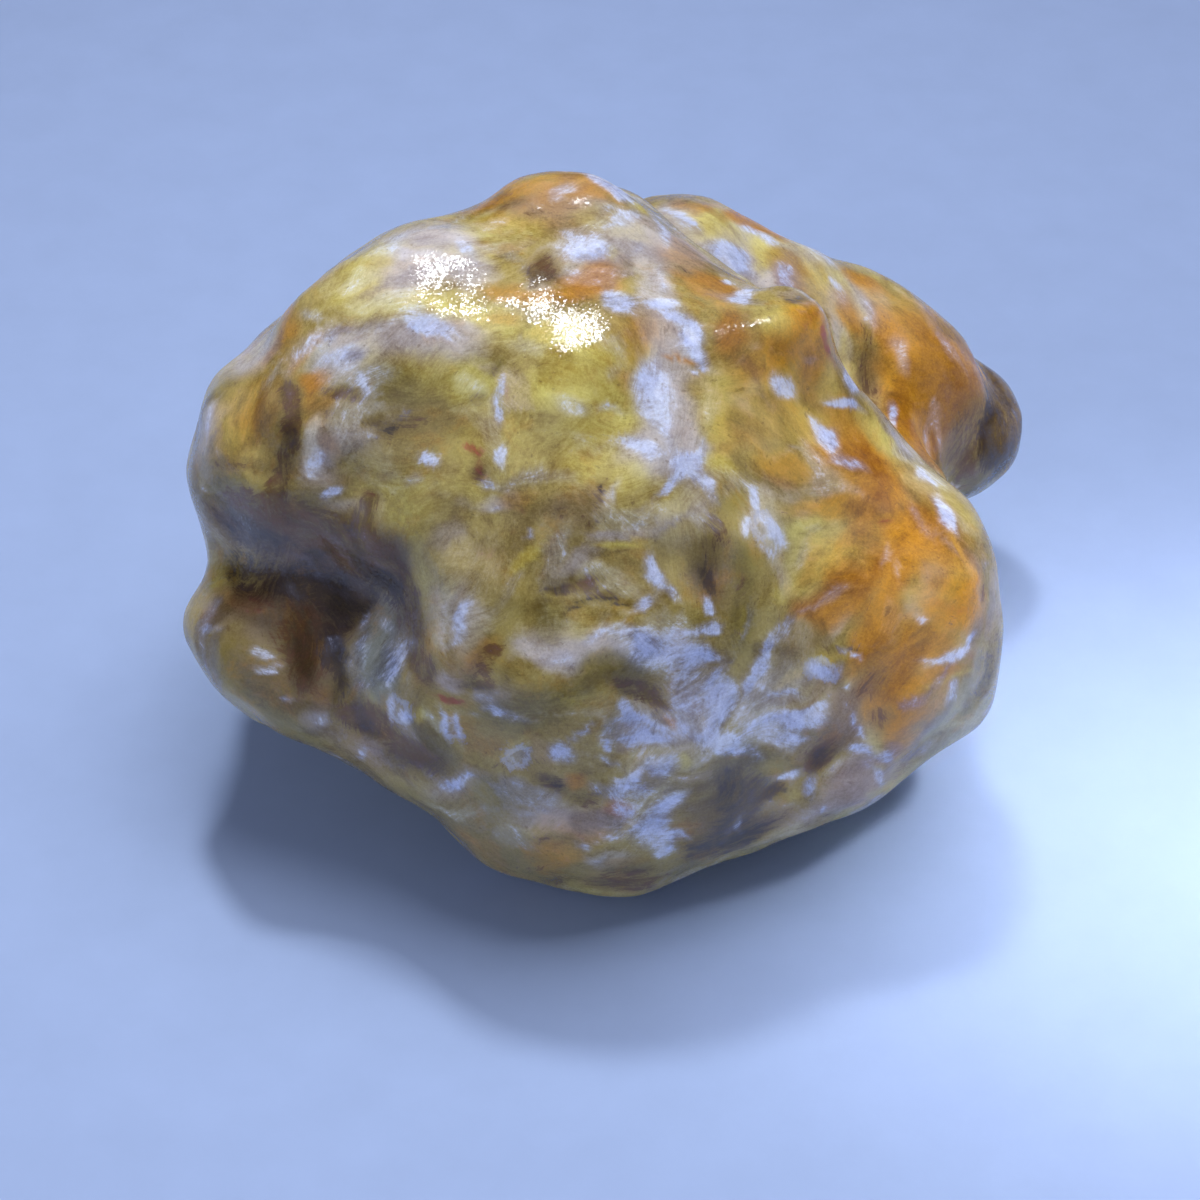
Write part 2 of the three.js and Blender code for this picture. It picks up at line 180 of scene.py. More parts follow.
        (-1.0, 10.6, 3.4, 1.2, 5, 0.6), (-3.0, 10.4, 2.6, 0.5, 28, 0.7), (-0.3, 7.8, 2.0, 1.0, 12, 0.9),
        (-2.8, 7.3, 1.6, 0.6, -20, 0.6), (-1.3, 7.3, 1.8, 0.6, 0, 0.6), (-2.0, 9.6, 2.4, 0.9, 0, 0.35),
        (1.1, 6.0, 1.8, 0.9, 95, 0.4), (-3.0, 6.6, 0.9, 0.4, 0, 0.5), (0.9, 4.7, 0.9, 0.5, 90, 0.4),
        # left
        (-9.3, 6.5, 1.5, 0.6, 95, 0.5), (-8.7, 5.6, 1.4, 0.4, 60, 0.5), (-8.5, 4.7, 1.0, 0.5, 50, 0.95),
        (-10.3, 3.7, 1.6, 0.9, 60, 0.35), (-2.4, 1.3, 1.4, 0.6, 15, 0.45), (-3.5, 1.9, 0.4, 0.3, 0, 0.7),
        # The row at (6.5, 6.0) is iron stain and painted light, lifting the shaded right side of the knob.
        (-8.8, 4.2, 1.8, 1.4, 0, 0.5), (6.5, 6.0, 2.0, 1.6, 60, 0.6), (4.4, 4.4, 4.0, 3.2, -40, 0.3),
        (-8.4, -4.7, 1.1, 0.5, -10, 0.6), (-10.6, -1.8, 2.2, 0.6, -10, 0.45),
        (-3.5, -3.3, 1.2, 0.8, 40, 0.6),
        # knob and plume
        (6.0, 6.4, 1.8, 1.4, 60, 0.8), (3.9, 6.4, 1.4, 0.9, 80, 0.7), (3.5, 7.5, 2.0, 0.9, -25, 0.65),
        (5.2, 5.7, 1.4, 0.9, -30, 0.7), (2.4, 5.4, 0.9, 0.25, -10, 0.7), (6.4, 5.2, 1.8, 0.8, 80, 0.5),
        (2.6, 8.5, 1.8, 1.0, -40, 0.4), (4.6, 5.2, 1.4, 0.9, 0, 0.4),
        # cheek
        (6.8, -0.8, 2.2, 1.6, 40, 0.4), (10.4, -1.8, 2.0, 1.6, 60, 0.5), (5.6, 2.1, 1.8, 0.9, -20, 0.55),
        (7.2, 2.6, 1.6, 0.7, -20, 0.5), (8.2, 2.4, 1.8, 0.6, -38, 0.85), (8.3, 1.6, 1.6, 1.0, -20, 0.8),
        (6.8, 1.0, 2.4, 0.8, 5, 0.6), (8.7, -0.9, 3.2, 1.7, 62, 1.0), (9.4, 0.3, 2.2, 1.0, -35, 0.7),
        (7.4, -1.6, 2.4, 1.0, 35, 0.85), (6.4, -2.2, 1.4, 0.8, 20, 0.7), (8.5, -3.2, 2.8, 1.8, 85, 1.0),
        (8.7, -5.0, 2.4, 1.3, 90, 0.85), (9.7, -3.0, 1.6, 0.9, 20, 0.6), (11.1, -1.7, 1.8, 0.5, 78, 0.7),
        (9.9, -4.0, 1.8, 0.5, 5, 0.6), (10.5, -2.2, 1.4, 0.6, -20, 0.5), (10.4, 0.0, 1.6, 0.8, -60, 0.4),
        (7.8, 0.4, 1.4, 0.8, 50, 0.5), (9.2, -6.4, 1.4, 0.8, 60, 0.5),
        # foot
        (0.6, -8.1, 0.7, 0.5, 0, 1.0), (2.1, -5.4, 0.4, 0.35, 0, 0.9), (-0.6, -7.3, 0.8, 0.5, 0, 0.7),
        (-1.4, -9.4, 1.8, 0.8, 5, 0.5), (-0.3, -8.8, 1.6, 0.4, 0, 0.4), (0.0, -10.2, 1.2, 0.5, 0, 0.3),
        # rear lobes and tail
        (2.9, 10.1, 1.6, 0.35, -5, 0.6), (4.6, 9.4, 2.4, 0.5, -15, 0.85), (7.9, 7.7, 1.6, 0.5, -32, 0.8),
        (7.5, 6.7, 1.6, 0.6, -70, 0.7), (6.2, 9.0, 1.4, 0.4, -28, 0.5), (10.2, 4.8, 4.8, 4.2, 80, 1.0),
        (9.6, 3.4, 3.0, 2.0, -50, 0.9), (8.6, 6.4, 1.8, 0.8, -60, 0.6),
        # broad thin stains
        (6.2, 4.2, 4.4, 2.6, -50, 0.35), (8.2, 1.6, 4.4, 2.4, -50, 0.5), (10.6, -0.6, 3.6, 2.0, -70, 0.5),
        (9.6, -4.2, 3.6, 2.4, 60, 0.5), (-11.0, 3.4, 3.4, 1.8, 70, 0.35), (-9.4, 5.6, 2.6, 1.4, 40, 0.3),
        (12.2, 4.2, 3.2, 3.0, 80, 1.0), (12.6, 2.8, 2.0, 2.0, 0, 0.9), (6.4, 7.6, 3.0, 1.6, -40, 0.35),
        (1.2, 6.6, 2.4, 2.0, 0, 0.3),
    ],
    # Dark chalcedony and painted shade in one: these rows darken the valley's hollow, the left foot and the
    # hem.
    "shade": [
        # valley and left foot, where the stain also paints the shade of the hollow
        (-9.8, 0.2, 5.6, 2.2, -12, 0.9), (-8.4, -1.6, 4.6, 2.4, -10, 0.9), (-6.4, -0.6, 1.8, 2.0, -60, 0.8),
        (-8.4, -3.4, 2.0, 3.0, 0, 0.8), (-10.8, -2.6, 3.4, 3.0, 0, 0.4), (-9.6, -4.6, 3.4, 1.6, -30, 0.4),
        (-6.2, -5.9, 4.4, 1.8, -30, 0.6), (-5.6, -3.0, 1.2, 3.0, 0, 0.5), (-9.6, 3.0, 1.6, 3.2, 10, 0.35),
        # middle
        (3.3, -0.8, 1.4, 2.6, 0, 0.45), (3.0, -1.2, 1.4, 1.2, 0, 0.6), (-5.4, 1.8, 1.6, 1.4, 0, 0.2),
        (0.8, -4.2, 2.6, 1.2, 0, 0.35), (-3.2, -3.9, 1.8, 1.6, 0, 0.3),
        # hem, painted shade where the stone turns down and under
        (3.9, -8.0, 3.6, 2.8, 20, 0.6), (6.3, -6.2, 2.2, 1.6, 40, 0.6), (-2.0, -7.8, 5.0, 1.6, 0, 0.3),
        (-3.4, -9.0, 6.0, 1.2, -18, 0.35), (1.6, -10.0, 4.6, 1.0, 12, 0.4),
        (-7.6, -6.9, 4.0, 0.9, -32, 0.35),
        # crown and right
        (-1.7, 8.1, 1.4, 1.2, 40, 0.45), (-1.6, 10.2, 3.0, 1.0, 5, 0.3), (10.8, -4.2, 2.2, 1.6, 60, 0.35),
        (12.8, 4.0, 1.4, 3.4, 0, 1.0), (11.4, 2.0, 3.0, 1.2, 40, 0.6),
    ],
    "umber": [
        # crown
        (-2.6, 10.3, 1.3, 0.8, 20, 0.5), (-1.9, 9.7, 0.7, 0.5, 0, 0.55), (-1.6, 8.2, 1.1, 0.7, 65, 0.95),
        (-2.1, 7.9, 0.9, 0.4, 90, 0.85), (2.7, 8.1, 0.8, 0.3, -30, 0.7), (-0.8, 10.0, 1.2, 0.5, 0, 0.3),
        # left shoulder
        (-9.3, 4.3, 1.0, 0.6, 60, 1.0), (-9.4, 3.4, 1.5, 0.6, 90, 1.0), (-9.5, 2.4, 1.5, 0.5, 88, 0.95),
        (-9.8, 1.6, 1.3, 0.7, 55, 0.95), (-7.7, 4.35, 1.8, 0.4, -3, 0.75), (-8.2, 3.8, 1.4, 0.25, 0, 0.5),
        (-10.2, 3.4, 1.4, 0.3, 50, 0.5), (-11.2, 2.2, 1.8, 0.4, -8, 0.65), (-10.8, 1.3, 2.4, 0.5, -5, 0.8),
        (-6.0, 3.5, 1.6, 0.8, 10, 0.7), (-6.8, 3.6, 0.5, 0.4, 0, 0.7), (-4.9, 3.4, 2.4, 0.7, -5, 0.4),
        (-3.8, 4.2, 0.6, 0.4, 30, 0.8), (-3.2, 5.0, 0.6, 0.3, 20, 0.6), (-6.5, 2.9, 1.2, 0.5, 30, 0.4),
        # valley
        (-9.6, 0.8, 4.0, 1.3, -10, 0.95), (-7.9, 0.2, 2.8, 1.1, -25, 0.95), (-7.4, 0.6, 1.1, 0.7, -60, 0.9),
        (-6.8, 0.2, 2.0, 0.7, 96, 0.95), (-6.9, 1.2, 0.9, 0.7, 0, 0.7), (-6.2, -0.8, 1.6, 0.9, -60, 0.95),
        (-11.3, 0.6, 1.8, 0.7, -25, 0.8), (-8.6, -2.6, 2.4, 1.6, 0, 0.8), (-8.8, -3.7, 2.2, 1.3, 95, 0.95),
        (-7.0, -5.4, 2.2, 1.1, -25, 1.0), (-5.6, -6.5, 2.0, 0.9, -20, 1.0), (-5.9, -1.9, 1.8, 1.0, -80, 0.9),
        (-5.3, -3.8, 1.8, 0.7, 95, 0.85), (-10.2, -1.6, 2.4, 0.7, -8, 0.8), (-5.4, -2.7, 0.8, 0.25, 95, 0.7),
        (-8.0, -0.6, 5.0, 1.6, -8, 0.8),
        # middle
        (-3.7, 2.0, 0.7, 0.5, 20, 1.0), (-0.6, 1.2, 1.4, 0.5, 62, 0.6), (-1.2, 0.9, 1.0, 0.3, 65, 0.55),
        (-0.1, 1.6, 1.0, 0.3, 55, 0.7), (-0.4, 0.6, 1.0, 0.4, 40, 0.6), (0.3, -0.5, 1.4, 0.3, 12, 0.6),
        (-0.6, -1.5, 1.4, 0.4, 12, 1.0), (-1.3, -1.8, 1.0, 0.3, 5, 1.0), (0.2, -1.8, 1.4, 0.4, -3, 0.8),
        (-2.7, -0.2, 1.0, 0.3, 10, 0.4), (3.6, 0.2, 1.8, 0.9, 75, 0.6), (4.3, 2.4, 0.9, 0.2, -10, 0.5),
        (5.2, 2.8, 0.7, 0.2, -30, 0.5), (5.0, 1.8, 1.6, 0.25, -20, 0.5), (4.2, -1.8, 2.4, 0.4, 85, 0.5),
        # below the middle
        (1.0, -4.5, 1.6, 0.6, -8, 1.0), (1.6, -4.9, 1.4, 0.4, -15, 1.0), (1.8, -5.3, 1.0, 0.3, -40, 0.6),
        (-3.4, -3.5, 1.3, 0.9, 50, 0.75), (-3.7, -4.3, 1.4, 0.5, -8, 0.95), (-1.4, -7.3, 1.2, 0.5, -15, 0.9),
        (-0.4, -7.8, 1.4, 0.4, -10, 0.8), (-1.8, -9.0, 1.0, 0.3, 10, 0.6), (-1.3, -10.2, 0.9, 0.4, -10, 0.8),
        (0.9, -10.2, 2.6, 0.7, 8, 0.85), (-1.6, -9.8, 1.8, 0.6, -15, 0.5), (-2.6, -6.9, 2.2, 0.5, 5, 0.5),
        # right
        (6.5, -6.4, 1.4, 0.9, 60, 1.0), (8.2, -4.4, 1.6, 0.8, 60, 0.6), (8.5, -5.5, 1.2, 0.6, 70, 0.7),
        (9.2, -6.6, 1.6, 0.5, 55, 0.7), (7.1, -3.1, 1.8, 0.3, -10, 0.6), (11.4, -1.5, 1.1, 0.25, 75, 0.6),
        (6.9, -8.5, 1.0, 0.3, 15, 0.7), (8.8, -3.0, 2.4, 0.4, 50, 0.4), (5.3, -8.3, 1.4, 0.5, 10, 0.5),
        (8.1, -1.6, 1.8, 0.3, 65, 0.4), (5.6, -2.4, 1.4, 0.4, 70, 0.45), (11.9, -3.0, 3.6, 1.0, -85, 0.5),
        # rear lobes and tail
        (8.0, 4.6, 3.2, 0.5, 88, 0.7), (11.2, 3.2, 2.8, 1.5, 75, 0.7), (10.7, 2.2, 1.8, 1.2, 40, 0.6),
        (10.8, 6.1, 2.2, 0.7, -20, 0.6), (8.0, 6.2, 1.6, 0.5, -80, 0.5),
    ],
    "teal": [
        (-6.6, -3.2, 3.0, 1.6, 78, 1.0), (-6.3, -4.4, 1.2, 0.8, 60, 0.7), (-7.1, -2.2, 1.2, 0.6, 70, 0.6),
        (-3.6, -7.9, 1.8, 1.2, 10, 0.35), (-2.4, -6.5, 0.8, 0.7, 0, 0.5),
    ],
    "blush": [
        (-3.7, 2.7, 0.9, 0.3, -3, 1.0), (-3.6, 2.2, 0.7, 0.4, 80, 0.9), (-2.9, 4.4, 0.8, 0.3, -60, 0.6),
        (-2.2, 1.0, 0.4, 0.25, 0, 0.7), (6.8, 5.9, 1.2, 0.3, -80, 1.0), (6.2, 6.6, 0.9, 0.4, 30, 0.5),
        (8.5, 0.4, 0.5, 0.25, 20, 1.0), (-4.6, -4.8, 1.0, 0.3, -5, 1.0), (-5.3, -4.4, 0.7, 0.5, 60, 0.4),
        (-6.9, 1.3, 0.7, 0.3, 0, 0.5), (10.6, -2.0, 1.0, 0.3, -20, 0.5), (-3.3, -0.3, 0.6, 0.25, 10, 0.4),
        (11.1, -3.6, 0.5, 0.3, 0, 0.5), (-10.4, -1.9, 1.8, 0.5, -5, 0.35), (8.4, -6.7, 0.8, 0.3, -15, 0.4),
        (-0.7, -1.5, 0.9, 0.3, 12, 0.5), (9.1, 0.9, 1.6, 0.4, -25, 0.35), (-0.2, -8.8, 1.0, 0.3, 0, 0.35),
    ],
    "frost": [
        # crown
        (-1.2, 10.6, 0.9, 0.35, 0, 0.75), (-1.4, 10.3, 0.4, 0.3, 0, 0.6), (0.4, 10.6, 1.8, 0.6, -38, 1.0),
        (0.7, 9.6, 1.0, 0.5, 10, 0.75), (1.8, 9.2, 0.8, 0.3, -60, 0.75), (-0.4, 8.7, 1.7, 0.7, -10, 1.0),
        (-0.9, 8.2, 0.6, 0.4, 0, 0.6), (0.5, 7.3, 1.0, 0.7, 10, 0.9), (1.8, 7.1, 0.8, 0.45, -10, 0.95),
        (1.8, 7.8, 0.9, 0.35, 80, 0.6), (1.3, 8.7, 0.6, 0.4, 60, 0.5),
        # brow and left shoulder
        (-4.1, 8.7, 0.8, 0.5, -50, 0.7), (-5.1, 6.4, 1.5, 0.5, -12, 0.95), (-4.4, 5.95, 0.8, 0.2, -5, 0.6),
        (-6.2, 9.0, 0.9, 0.4, 15, 0.5), (-7.5, 5.5, 1.3, 0.9, 20, 0.6), (-7.1, 4.6, 0.7, 0.3, 90, 0.75),
        (-10.6, 5.8, 1.6, 0.4, 18, 0.95), (-8.7, 6.7, 0.6, 0.4, -30, 0.6), (-8.7, 5.8, 1.0, 0.3, 60, 0.65),
        (-8.3, 5.3, 0.9, 0.25, 40, 0.5), (-8.6, 2.3, 0.9, 0.5, 80, 0.6), (-8.1, 1.5, 0.6, 0.3, 35, 0.95),
        (-11.6, 3.7, 0.8, 0.4, 80, 0.4),
        # middle left
        (-5.15, 2.35, 0.6, 0.25, -5, 0.95), (-2.75, 2.6, 0.8, 0.35, 75, 0.85), (-5.6, 1.9, 0.6, 0.4, 0, 0.5),
        (-3.2, 4.3, 0.8, 0.4, 70, 0.85), (-3.0, 3.8, 0.6, 0.3, -50, 0.7), (-1.0, 4.0, 0.9, 0.5, -40, 0.55),
        (0.3, 3.85, 1.2, 0.25, 0, 0.5), (-5.9, 3.8, 0.3, 0.25, 0, 0.7), (-3.4, 1.65, 1.0, 0.22, -15, 0.6),
        (-2.2, 0.3, 0.5, 0.25, 60, 0.7), (0.3, 1.6, 0.6, 0.2, 55, 0.6), (-3.2, 1.0, 0.6, 0.25, 5, 0.5),
        # plume above the middle
        (2.4, 6.4, 1.4, 0.7, -30, 1.0), (2.8, 5.7, 1.3, 0.5, -45, 0.95), (1.8, 4.5, 1.6, 1.0, -65, 1.0),
        (1.8, 3.7, 1.1, 0.6, -40, 0.85), (2.9, 5.1, 0.6, 0.25, 30, 0.8), (1.3, 2.8, 1.8, 0.5, -12, 0.95),
        (2.7, 2.3, 1.2, 0.8, 40, 1.0), (2.2, 1.6, 1.6, 0.3, 30, 0.95), (3.1, 1.8, 1.4, 0.35, -42, 0.85),
        (3.1, 2.9, 0.9, 0.3, 75, 0.6), (2.2, 3.1, 0.8, 0.3, -60, 0.5), (1.3, 0.5, 1.0, 0.25, 15, 0.45),
        # knob
        (4.4, 7.2, 0.7, 0.4, 20, 0.9), (3.9, 7.7, 0.5, 0.2, 0, 0.8), (5.5, 4.6, 1.0, 0.5, -50, 0.95),
        (6.7, 6.9, 0.4, 0.25, 0, 0.6), (6.3, 5.4, 0.5, 0.3, 0, 0.4),
        # cheek
        (6.7, 3.2, 1.4, 0.45, -52, 0.95), (7.4, 2.4, 0.9, 0.3, -20, 0.75), (7.4, 3.9, 1.4, 0.3, -32, 0.9),
        (4.9, 1.1, 0.9, 0.35, -80, 0.95), (4.6, 0.4, 0.9, 0.4, 65, 0.85), (5.3, 0.3, 1.0, 0.4, -70, 0.95),
        (5.0, -0.2, 0.5, 0.4, 0, 0.8), (10.4, 0.7, 1.1, 0.5, -65, 1.0), (9.8, 1.8, 1.0, 0.3, -36, 0.85),
        (5.7, 2.6, 0.7, 0.25, 10, 0.4), (8.4, -0.4, 0.5, 0.25, 80, 0.5), (11.5, -0.6, 0.5, 0.3, -60, 0.4),
        (10.5, -3.4, 1.3, 0.5, 15, 1.0), (11.05, -2.9, 0.6, 0.3, 50, 0.95), (9.8, -3.5, 0.7, 0.25, 0, 0.6),
        (10.45, -4.6, 0.6, 0.4, 80, 0.7), (9.8, -2.5, 0.5, 0.25, 10, 0.6), (6.7, -1.9, 1.6, 0.22, 35, 0.5),
        (7.6, -3.3, 1.1, 0.22, -35, 0.75), (7.3, -3.8, 0.8, 0.3, -85, 0.6), (7.5, -4.6, 0.7, 0.25, 25, 0.85),
        # wisps below the middle
        (1.6, -0.9, 1.2, 0.45, 88, 1.0), (2.0, -1.6, 0.9, 0.3, -50, 0.7), (1.2, -1.9, 0.6, 0.35, 40, 0.85),
        (1.4, -3.1, 1.1, 0.4, -40, 0.95), (0.6, -2.8, 1.6, 0.3, 5, 0.75), (1.9, -3.5, 1.0, 0.3, 0, 0.8),
        (3.0, -3.4, 1.2, 0.35, 0, 0.9), (3.2, -2.5, 0.9, 0.3, 20, 0.95), (2.6, -2.8, 1.3, 0.22, 15, 0.7),
        (3.1, -1.9, 0.6, 0.4, -40, 1.0), (-1.2, -3.5, 1.2, 0.6, 0, 0.5), (-4.1, -2.3, 1.2, 0.3, 60, 0.95),
        (-4.4, -2.9, 0.8, 0.3, 35, 0.6),
        # plume at the lower right
        (3.6, -4.6, 1.2, 0.9, 70, 1.0), (3.4, -5.4, 1.3, 0.5, 60, 0.95), (3.8, -6.1, 1.5, 0.5, -20, 0.95),
        (4.4, -6.4, 0.9, 0.3, 10, 0.6), (5.1, -3.3, 1.6, 0.4, 60, 0.95), (4.6, -4.2, 1.3, 0.35, 55, 0.85),
        (5.7, -2.7, 0.8, 0.3, 60, 0.65), (5.5, -5.5, 2.2, 0.5, 8, 0.95), (6.3, -5.2, 1.0, 0.4, 18, 0.8),
        (5.4, -5.9, 1.4, 0.22, 5, 0.8), (5.4, -4.6, 0.9, 0.22, -30, 0.7), (6.6, -4.0, 1.0, 0.6, -15, 1.0),
        (7.7, -5.6, 1.0, 0.25, -70, 0.85), (7.7, -6.3, 0.7, 0.3, -15, 0.85), (8.3, -7.1, 1.0, 0.3, -40, 0.7),
        (5.6, -6.95, 1.0, 0.35, 20, 1.0), (6.25, -7.35, 0.4, 0.9, -15, 0.9), (6.7, -8.2, 0.5, 0.3, 90, 0.65),
        (8.4, -6.5, 0.6, 0.3, -10, 0.5),
        # hem
        (0.9, -5.2, 1.0, 0.3, -60, 0.85), (1.4, -5.5, 1.6, 0.25, -15, 0.75), (1.3, -5.9, 1.7, 0.3, 0, 0.85),
        (2.7, -5.6, 1.0, 0.35, -50, 0.6), (1.8, -6.7, 1.3, 0.6, 15, 0.9), (0.8, -7.3, 1.1, 0.4, 55, 1.0),
        (1.1, -7.6, 0.8, 0.25, 45, 0.6), (-1.1, -6.5, 0.9, 0.5, -10, 0.95), (-0.5, -5.8, 1.1, 0.3, 45, 0.85),
        (0.1, -6.1, 0.7, 0.2, 95, 0.6), (0.1, -6.6, 1.0, 0.2, -25, 0.6), (2.1, -8.0, 1.3, 0.5, 35, 1.0),
        (1.6, -8.8, 1.1, 0.8, 40, 1.0), (2.0, -9.2, 0.9, 0.4, 20, 0.95), (2.6, -9.0, 0.6, 0.22, 0, 0.7),
        (-4.4, -7.35, 1.2, 0.4, 10, 1.0), (-3.8, -7.2, 0.6, 0.25, 0, 0.7), (-0.5, -9.1, 0.5, 0.25, 0, 0.7),
        (0.3, -8.9, 1.2, 0.22, 3, 0.5), (4.3, -8.4, 0.6, 0.25, 80, 0.7), (-3.4, -5.2, 1.0, 0.22, 5, 0.7),
        (-1.9, -8.1, 1.6, 0.25, 15, 0.4), (0.0, -9.7, 0.8, 0.3, 20, 0.4),
        # left foot and valley
        (-7.2, -2.3, 0.6, 0.3, 60, 0.75), (-6.4, -2.6, 0.9, 0.4, -30, 0.55),
        (-5.7, -3.4, 1.1, 0.4, 45, 0.85), (-7.0, -3.6, 0.9, 0.3, 75, 0.6), (-6.2, -4.1, 0.9, 0.35, 50, 0.45),
        (-6.2, -5.2, 0.8, 0.3, 75, 0.9), (-5.7, -5.4, 0.5, 0.3, -30, 1.0),
        (-4.65, -5.6, 1.1, 0.25, -65, 0.9), (-4.2, -5.7, 1.0, 0.22, -60, 0.8),
        (-9.95, -3.35, 0.6, 0.3, 0, 0.9), (-9.8, -3.85, 0.8, 0.25, 15, 0.85),
        (-9.35, -4.75, 0.4, 0.3, 0, 0.8), (-11.6, -2.7, 0.6, 0.3, 10, 0.6),
        (-7.25, -6.4, 0.4, 0.25, 20, 0.7), (-8.3, -5.4, 0.7, 0.4, -20, 0.5),
        # The row at (-9.0, -0.7) is painted sheen along the floor of the valley.
        (-9.0, -0.7, 1.2, 0.25, -18, 0.4),
        # rear lobes and tail
        (3.9, 8.4, 1.5, 0.7, -40, 1.0), (4.9, 9.0, 1.5, 0.35, -20, 0.85), (2.4, 9.8, 1.4, 0.4, -22, 0.8),
        (5.7, 7.9, 0.9, 0.6, -50, 0.7), (7.5, 4.7, 1.1, 0.4, -80, 0.95), (8.7, 3.6, 1.1, 0.35, -70, 0.85),
        (9.1, 5.6, 1.1, 0.5, -70, 0.6), (7.1, 7.4, 0.9, 0.5, -50, 0.5), (8.1, 6.9, 0.9, 0.4, -60, 0.5),
        (6.6, 8.5, 1.0, 0.4, -30, 0.5),
        # broad milky ground
        (1.3, -8.1, 2.4, 1.8, 30, 0.55), (2.6, -4.7, 2.6, 1.8, 60, 0.5), (1.6, -3.2, 2.8, 0.9, -5, 0.5),
        (4.4, -5.4, 3.0, 1.4, 20, 0.45), (1.5, -3.3, 2.0, 1.2, 0, 0.5), (-8.0, -3.2, 1.0, 0.5, 40, 0.4),
    ],
    "ink": [
        # valley and left foot
        (-10.2, 0.0, 3.6, 1.1, -14, 0.8), (-9.4, -1.3, 4.6, 1.2, -5, 0.9), (-10.8, -0.8, 1.8, 0.9, -30, 0.8),
        (-7.4, -1.5, 3.2, 1.3, -5, 0.9), (-6.3, -1.4, 1.6, 1.0, -70, 0.8), (-8.1, -1.9, 1.0, 0.3, 25, 0.9),
        (-7.9, -4.0, 2.0, 0.7, 100, 1.0), (-8.0, -2.7, 1.8, 1.0, 90, 0.75), (-7.3, -5.6, 1.0, 0.6, 0, 0.6),
        (-6.3, 3.3, 0.7, 0.35, 0, 1.0), (-9.4, 3.3, 0.8, 0.4, 90, 0.6), (-7.5, 0.5, 0.6, 0.4, -60, 0.6),
        # middle
        (3.2, -1.2, 1.1, 0.5, -70, 1.0), (3.4, -0.3, 1.5, 0.7, 80, 0.45), (4.3, -1.0, 1.4, 0.4, 95, 0.35),
        (0.3, -1.95, 1.3, 0.3, -2, 1.0), (-0.7, -2.1, 1.0, 0.22, 28, 0.8), (-0.1, 1.75, 0.3, 0.25, 0, 0.8),
        (0.8, -4.7, 0.8, 0.3, -8, 0.7), (-1.3, -7.3, 0.7, 0.3, -15, 0.8), (-3.6, 2.1, 0.35, 0.25, 0, 0.8),
        (-3.7, -4.3, 0.7, 0.3, 0, 0.5),
        # right
        (4.2, -7.9, 2.4, 1.8, 80, 0.8), (3.7, -9.1, 2.6, 0.9, 15, 0.9), (5.2, -7.4, 0.7, 0.5, 20, 0.9),
        (6.5, -6.4, 0.9, 0.6, 60, 0.6), (5.0, -8.6, 1.4, 0.5, 15, 0.5), (11.6, -3.9, 1.4, 0.6, 80, 0.7),
        (11.2, -4.8, 1.2, 0.6, 50, 0.5), (5.8, 7.3, 0.7, 0.3, 0, 0.6), (2.7, 8.1, 0.5, 0.22, -30, 0.6),
        # tail
        (12.3, 4.1, 3.4, 1.9, 97, 1.0), (12.1, 3.2, 3.0, 1.4, 90, 1.0), (12.5, 3.6, 2.6, 1.2, 95, 1.0),
        (11.7, 5.2, 1.2, 0.5, -60, 0.7), (11.9, 2.9, 1.6, 0.6, 60, 0.7),
    ],
}

# Crystals cut across, which show as broken rings: across, up, length, width (mm), turn (degrees).
RINGS = [
    (-2.5, -6.5, 0.9, 0.8, 0), (-6.0, -5.1, 0.9, 0.7, 110), (6.6, -3.9, 0.9, 0.7, -15),
    (-4.45, -5.7, 1.0, 0.6, -62), (4.9, 0.4, 0.9, 0.6, 85),
]

# The front runs out round the sides as the skin turns this far from the eye, as a cosine. What hides it is
# looked for from just off the skin, in mm.
FRONT_END = -0.35
OFF_SKIN = 0.15

# Each mineral, or the ground mass under them: what it is, its deep tone and its light tone (0 to 255).
MINERALS = {
    "ground": ("ground mass", (116, 93, 38), (194, 174, 98)),
    "veil": ("cloudy chalcedony", (170, 162, 172), (236, 232, 246)),
    "mauve": ("brown-pink chalcedony", (104, 76, 66), (172, 142, 132)),
    "olive": ("green-brown chalcedony", (80, 68, 20), (142, 128, 54)),
    "lemon": ("yellow chalcedony", (180, 152, 46), (234, 224, 124)),
    "amber": ("iron-stained chalcedony", (136, 78, 2), (224, 158, 24)),
    "teal": ("green-grey chalcedony", (64, 66, 56), (150, 156, 144)),
    # This stain is dark chalcedony and painted shade in one: its front rows darken the hollow, the foot and the
    # hem.
    "shade": ("dark purple-brown chalcedony and painted shade", (44, 34, 30), (112, 92, 82)),
    "umber": ("brown iron oxide", (44, 28, 12), (112, 74, 42)),
    "ink": ("black manganese oxide", (26, 22, 24), (74, 58, 48)),
    "blush": ("red iron oxide", (112, 36, 26), (178, 96, 66)),
    "frost": ("milky quartz", (158, 174, 222), (236, 241, 255)),
}

# How strongly each mineral stains the skin, in the order in which they cover each other.
STAINS = {"veil": 0.65, "mauve": 0.7, "olive": 0.8, "lemon": 0.9, "amber": 1.0, "teal": 0.9, "shade": 0.9}

# The minerals that grew in wisps over the stains: the share of each that is haze, how ragged its edge is, and
# how far the edge follows the fibres instead of the clouds.
GROWTHS = {
    "umber": (0.3, 1.5, 0.9),
    "ink": (0.3, 1.3, 0.8),
    "blush": (0.35, 0.9, 0.5),
    "frost": (0.45, 1.1, 0.5),
}

# The painted strengths over which a stain, the haze of a wisp and the core of a wisp run in.
STAIN_RANGE = (0.0, 1.1)
HAZE_RANGE = (0.0, 1.15)
CORE_RANGE = (0.44, 0.95)

# The rim of a ring runs in over the first distances from its middle, and the ring ends over the second.
RIM_RANGE = (0.4, 0.8)
RING_END = (0.85, 1.25)

# The pale and yellow minerals, and how much of them the dark ones push out.
PUSHED_OUT = ("veil", "lemon", "amber", "frost")
PUSHED_SHARE = 0.5

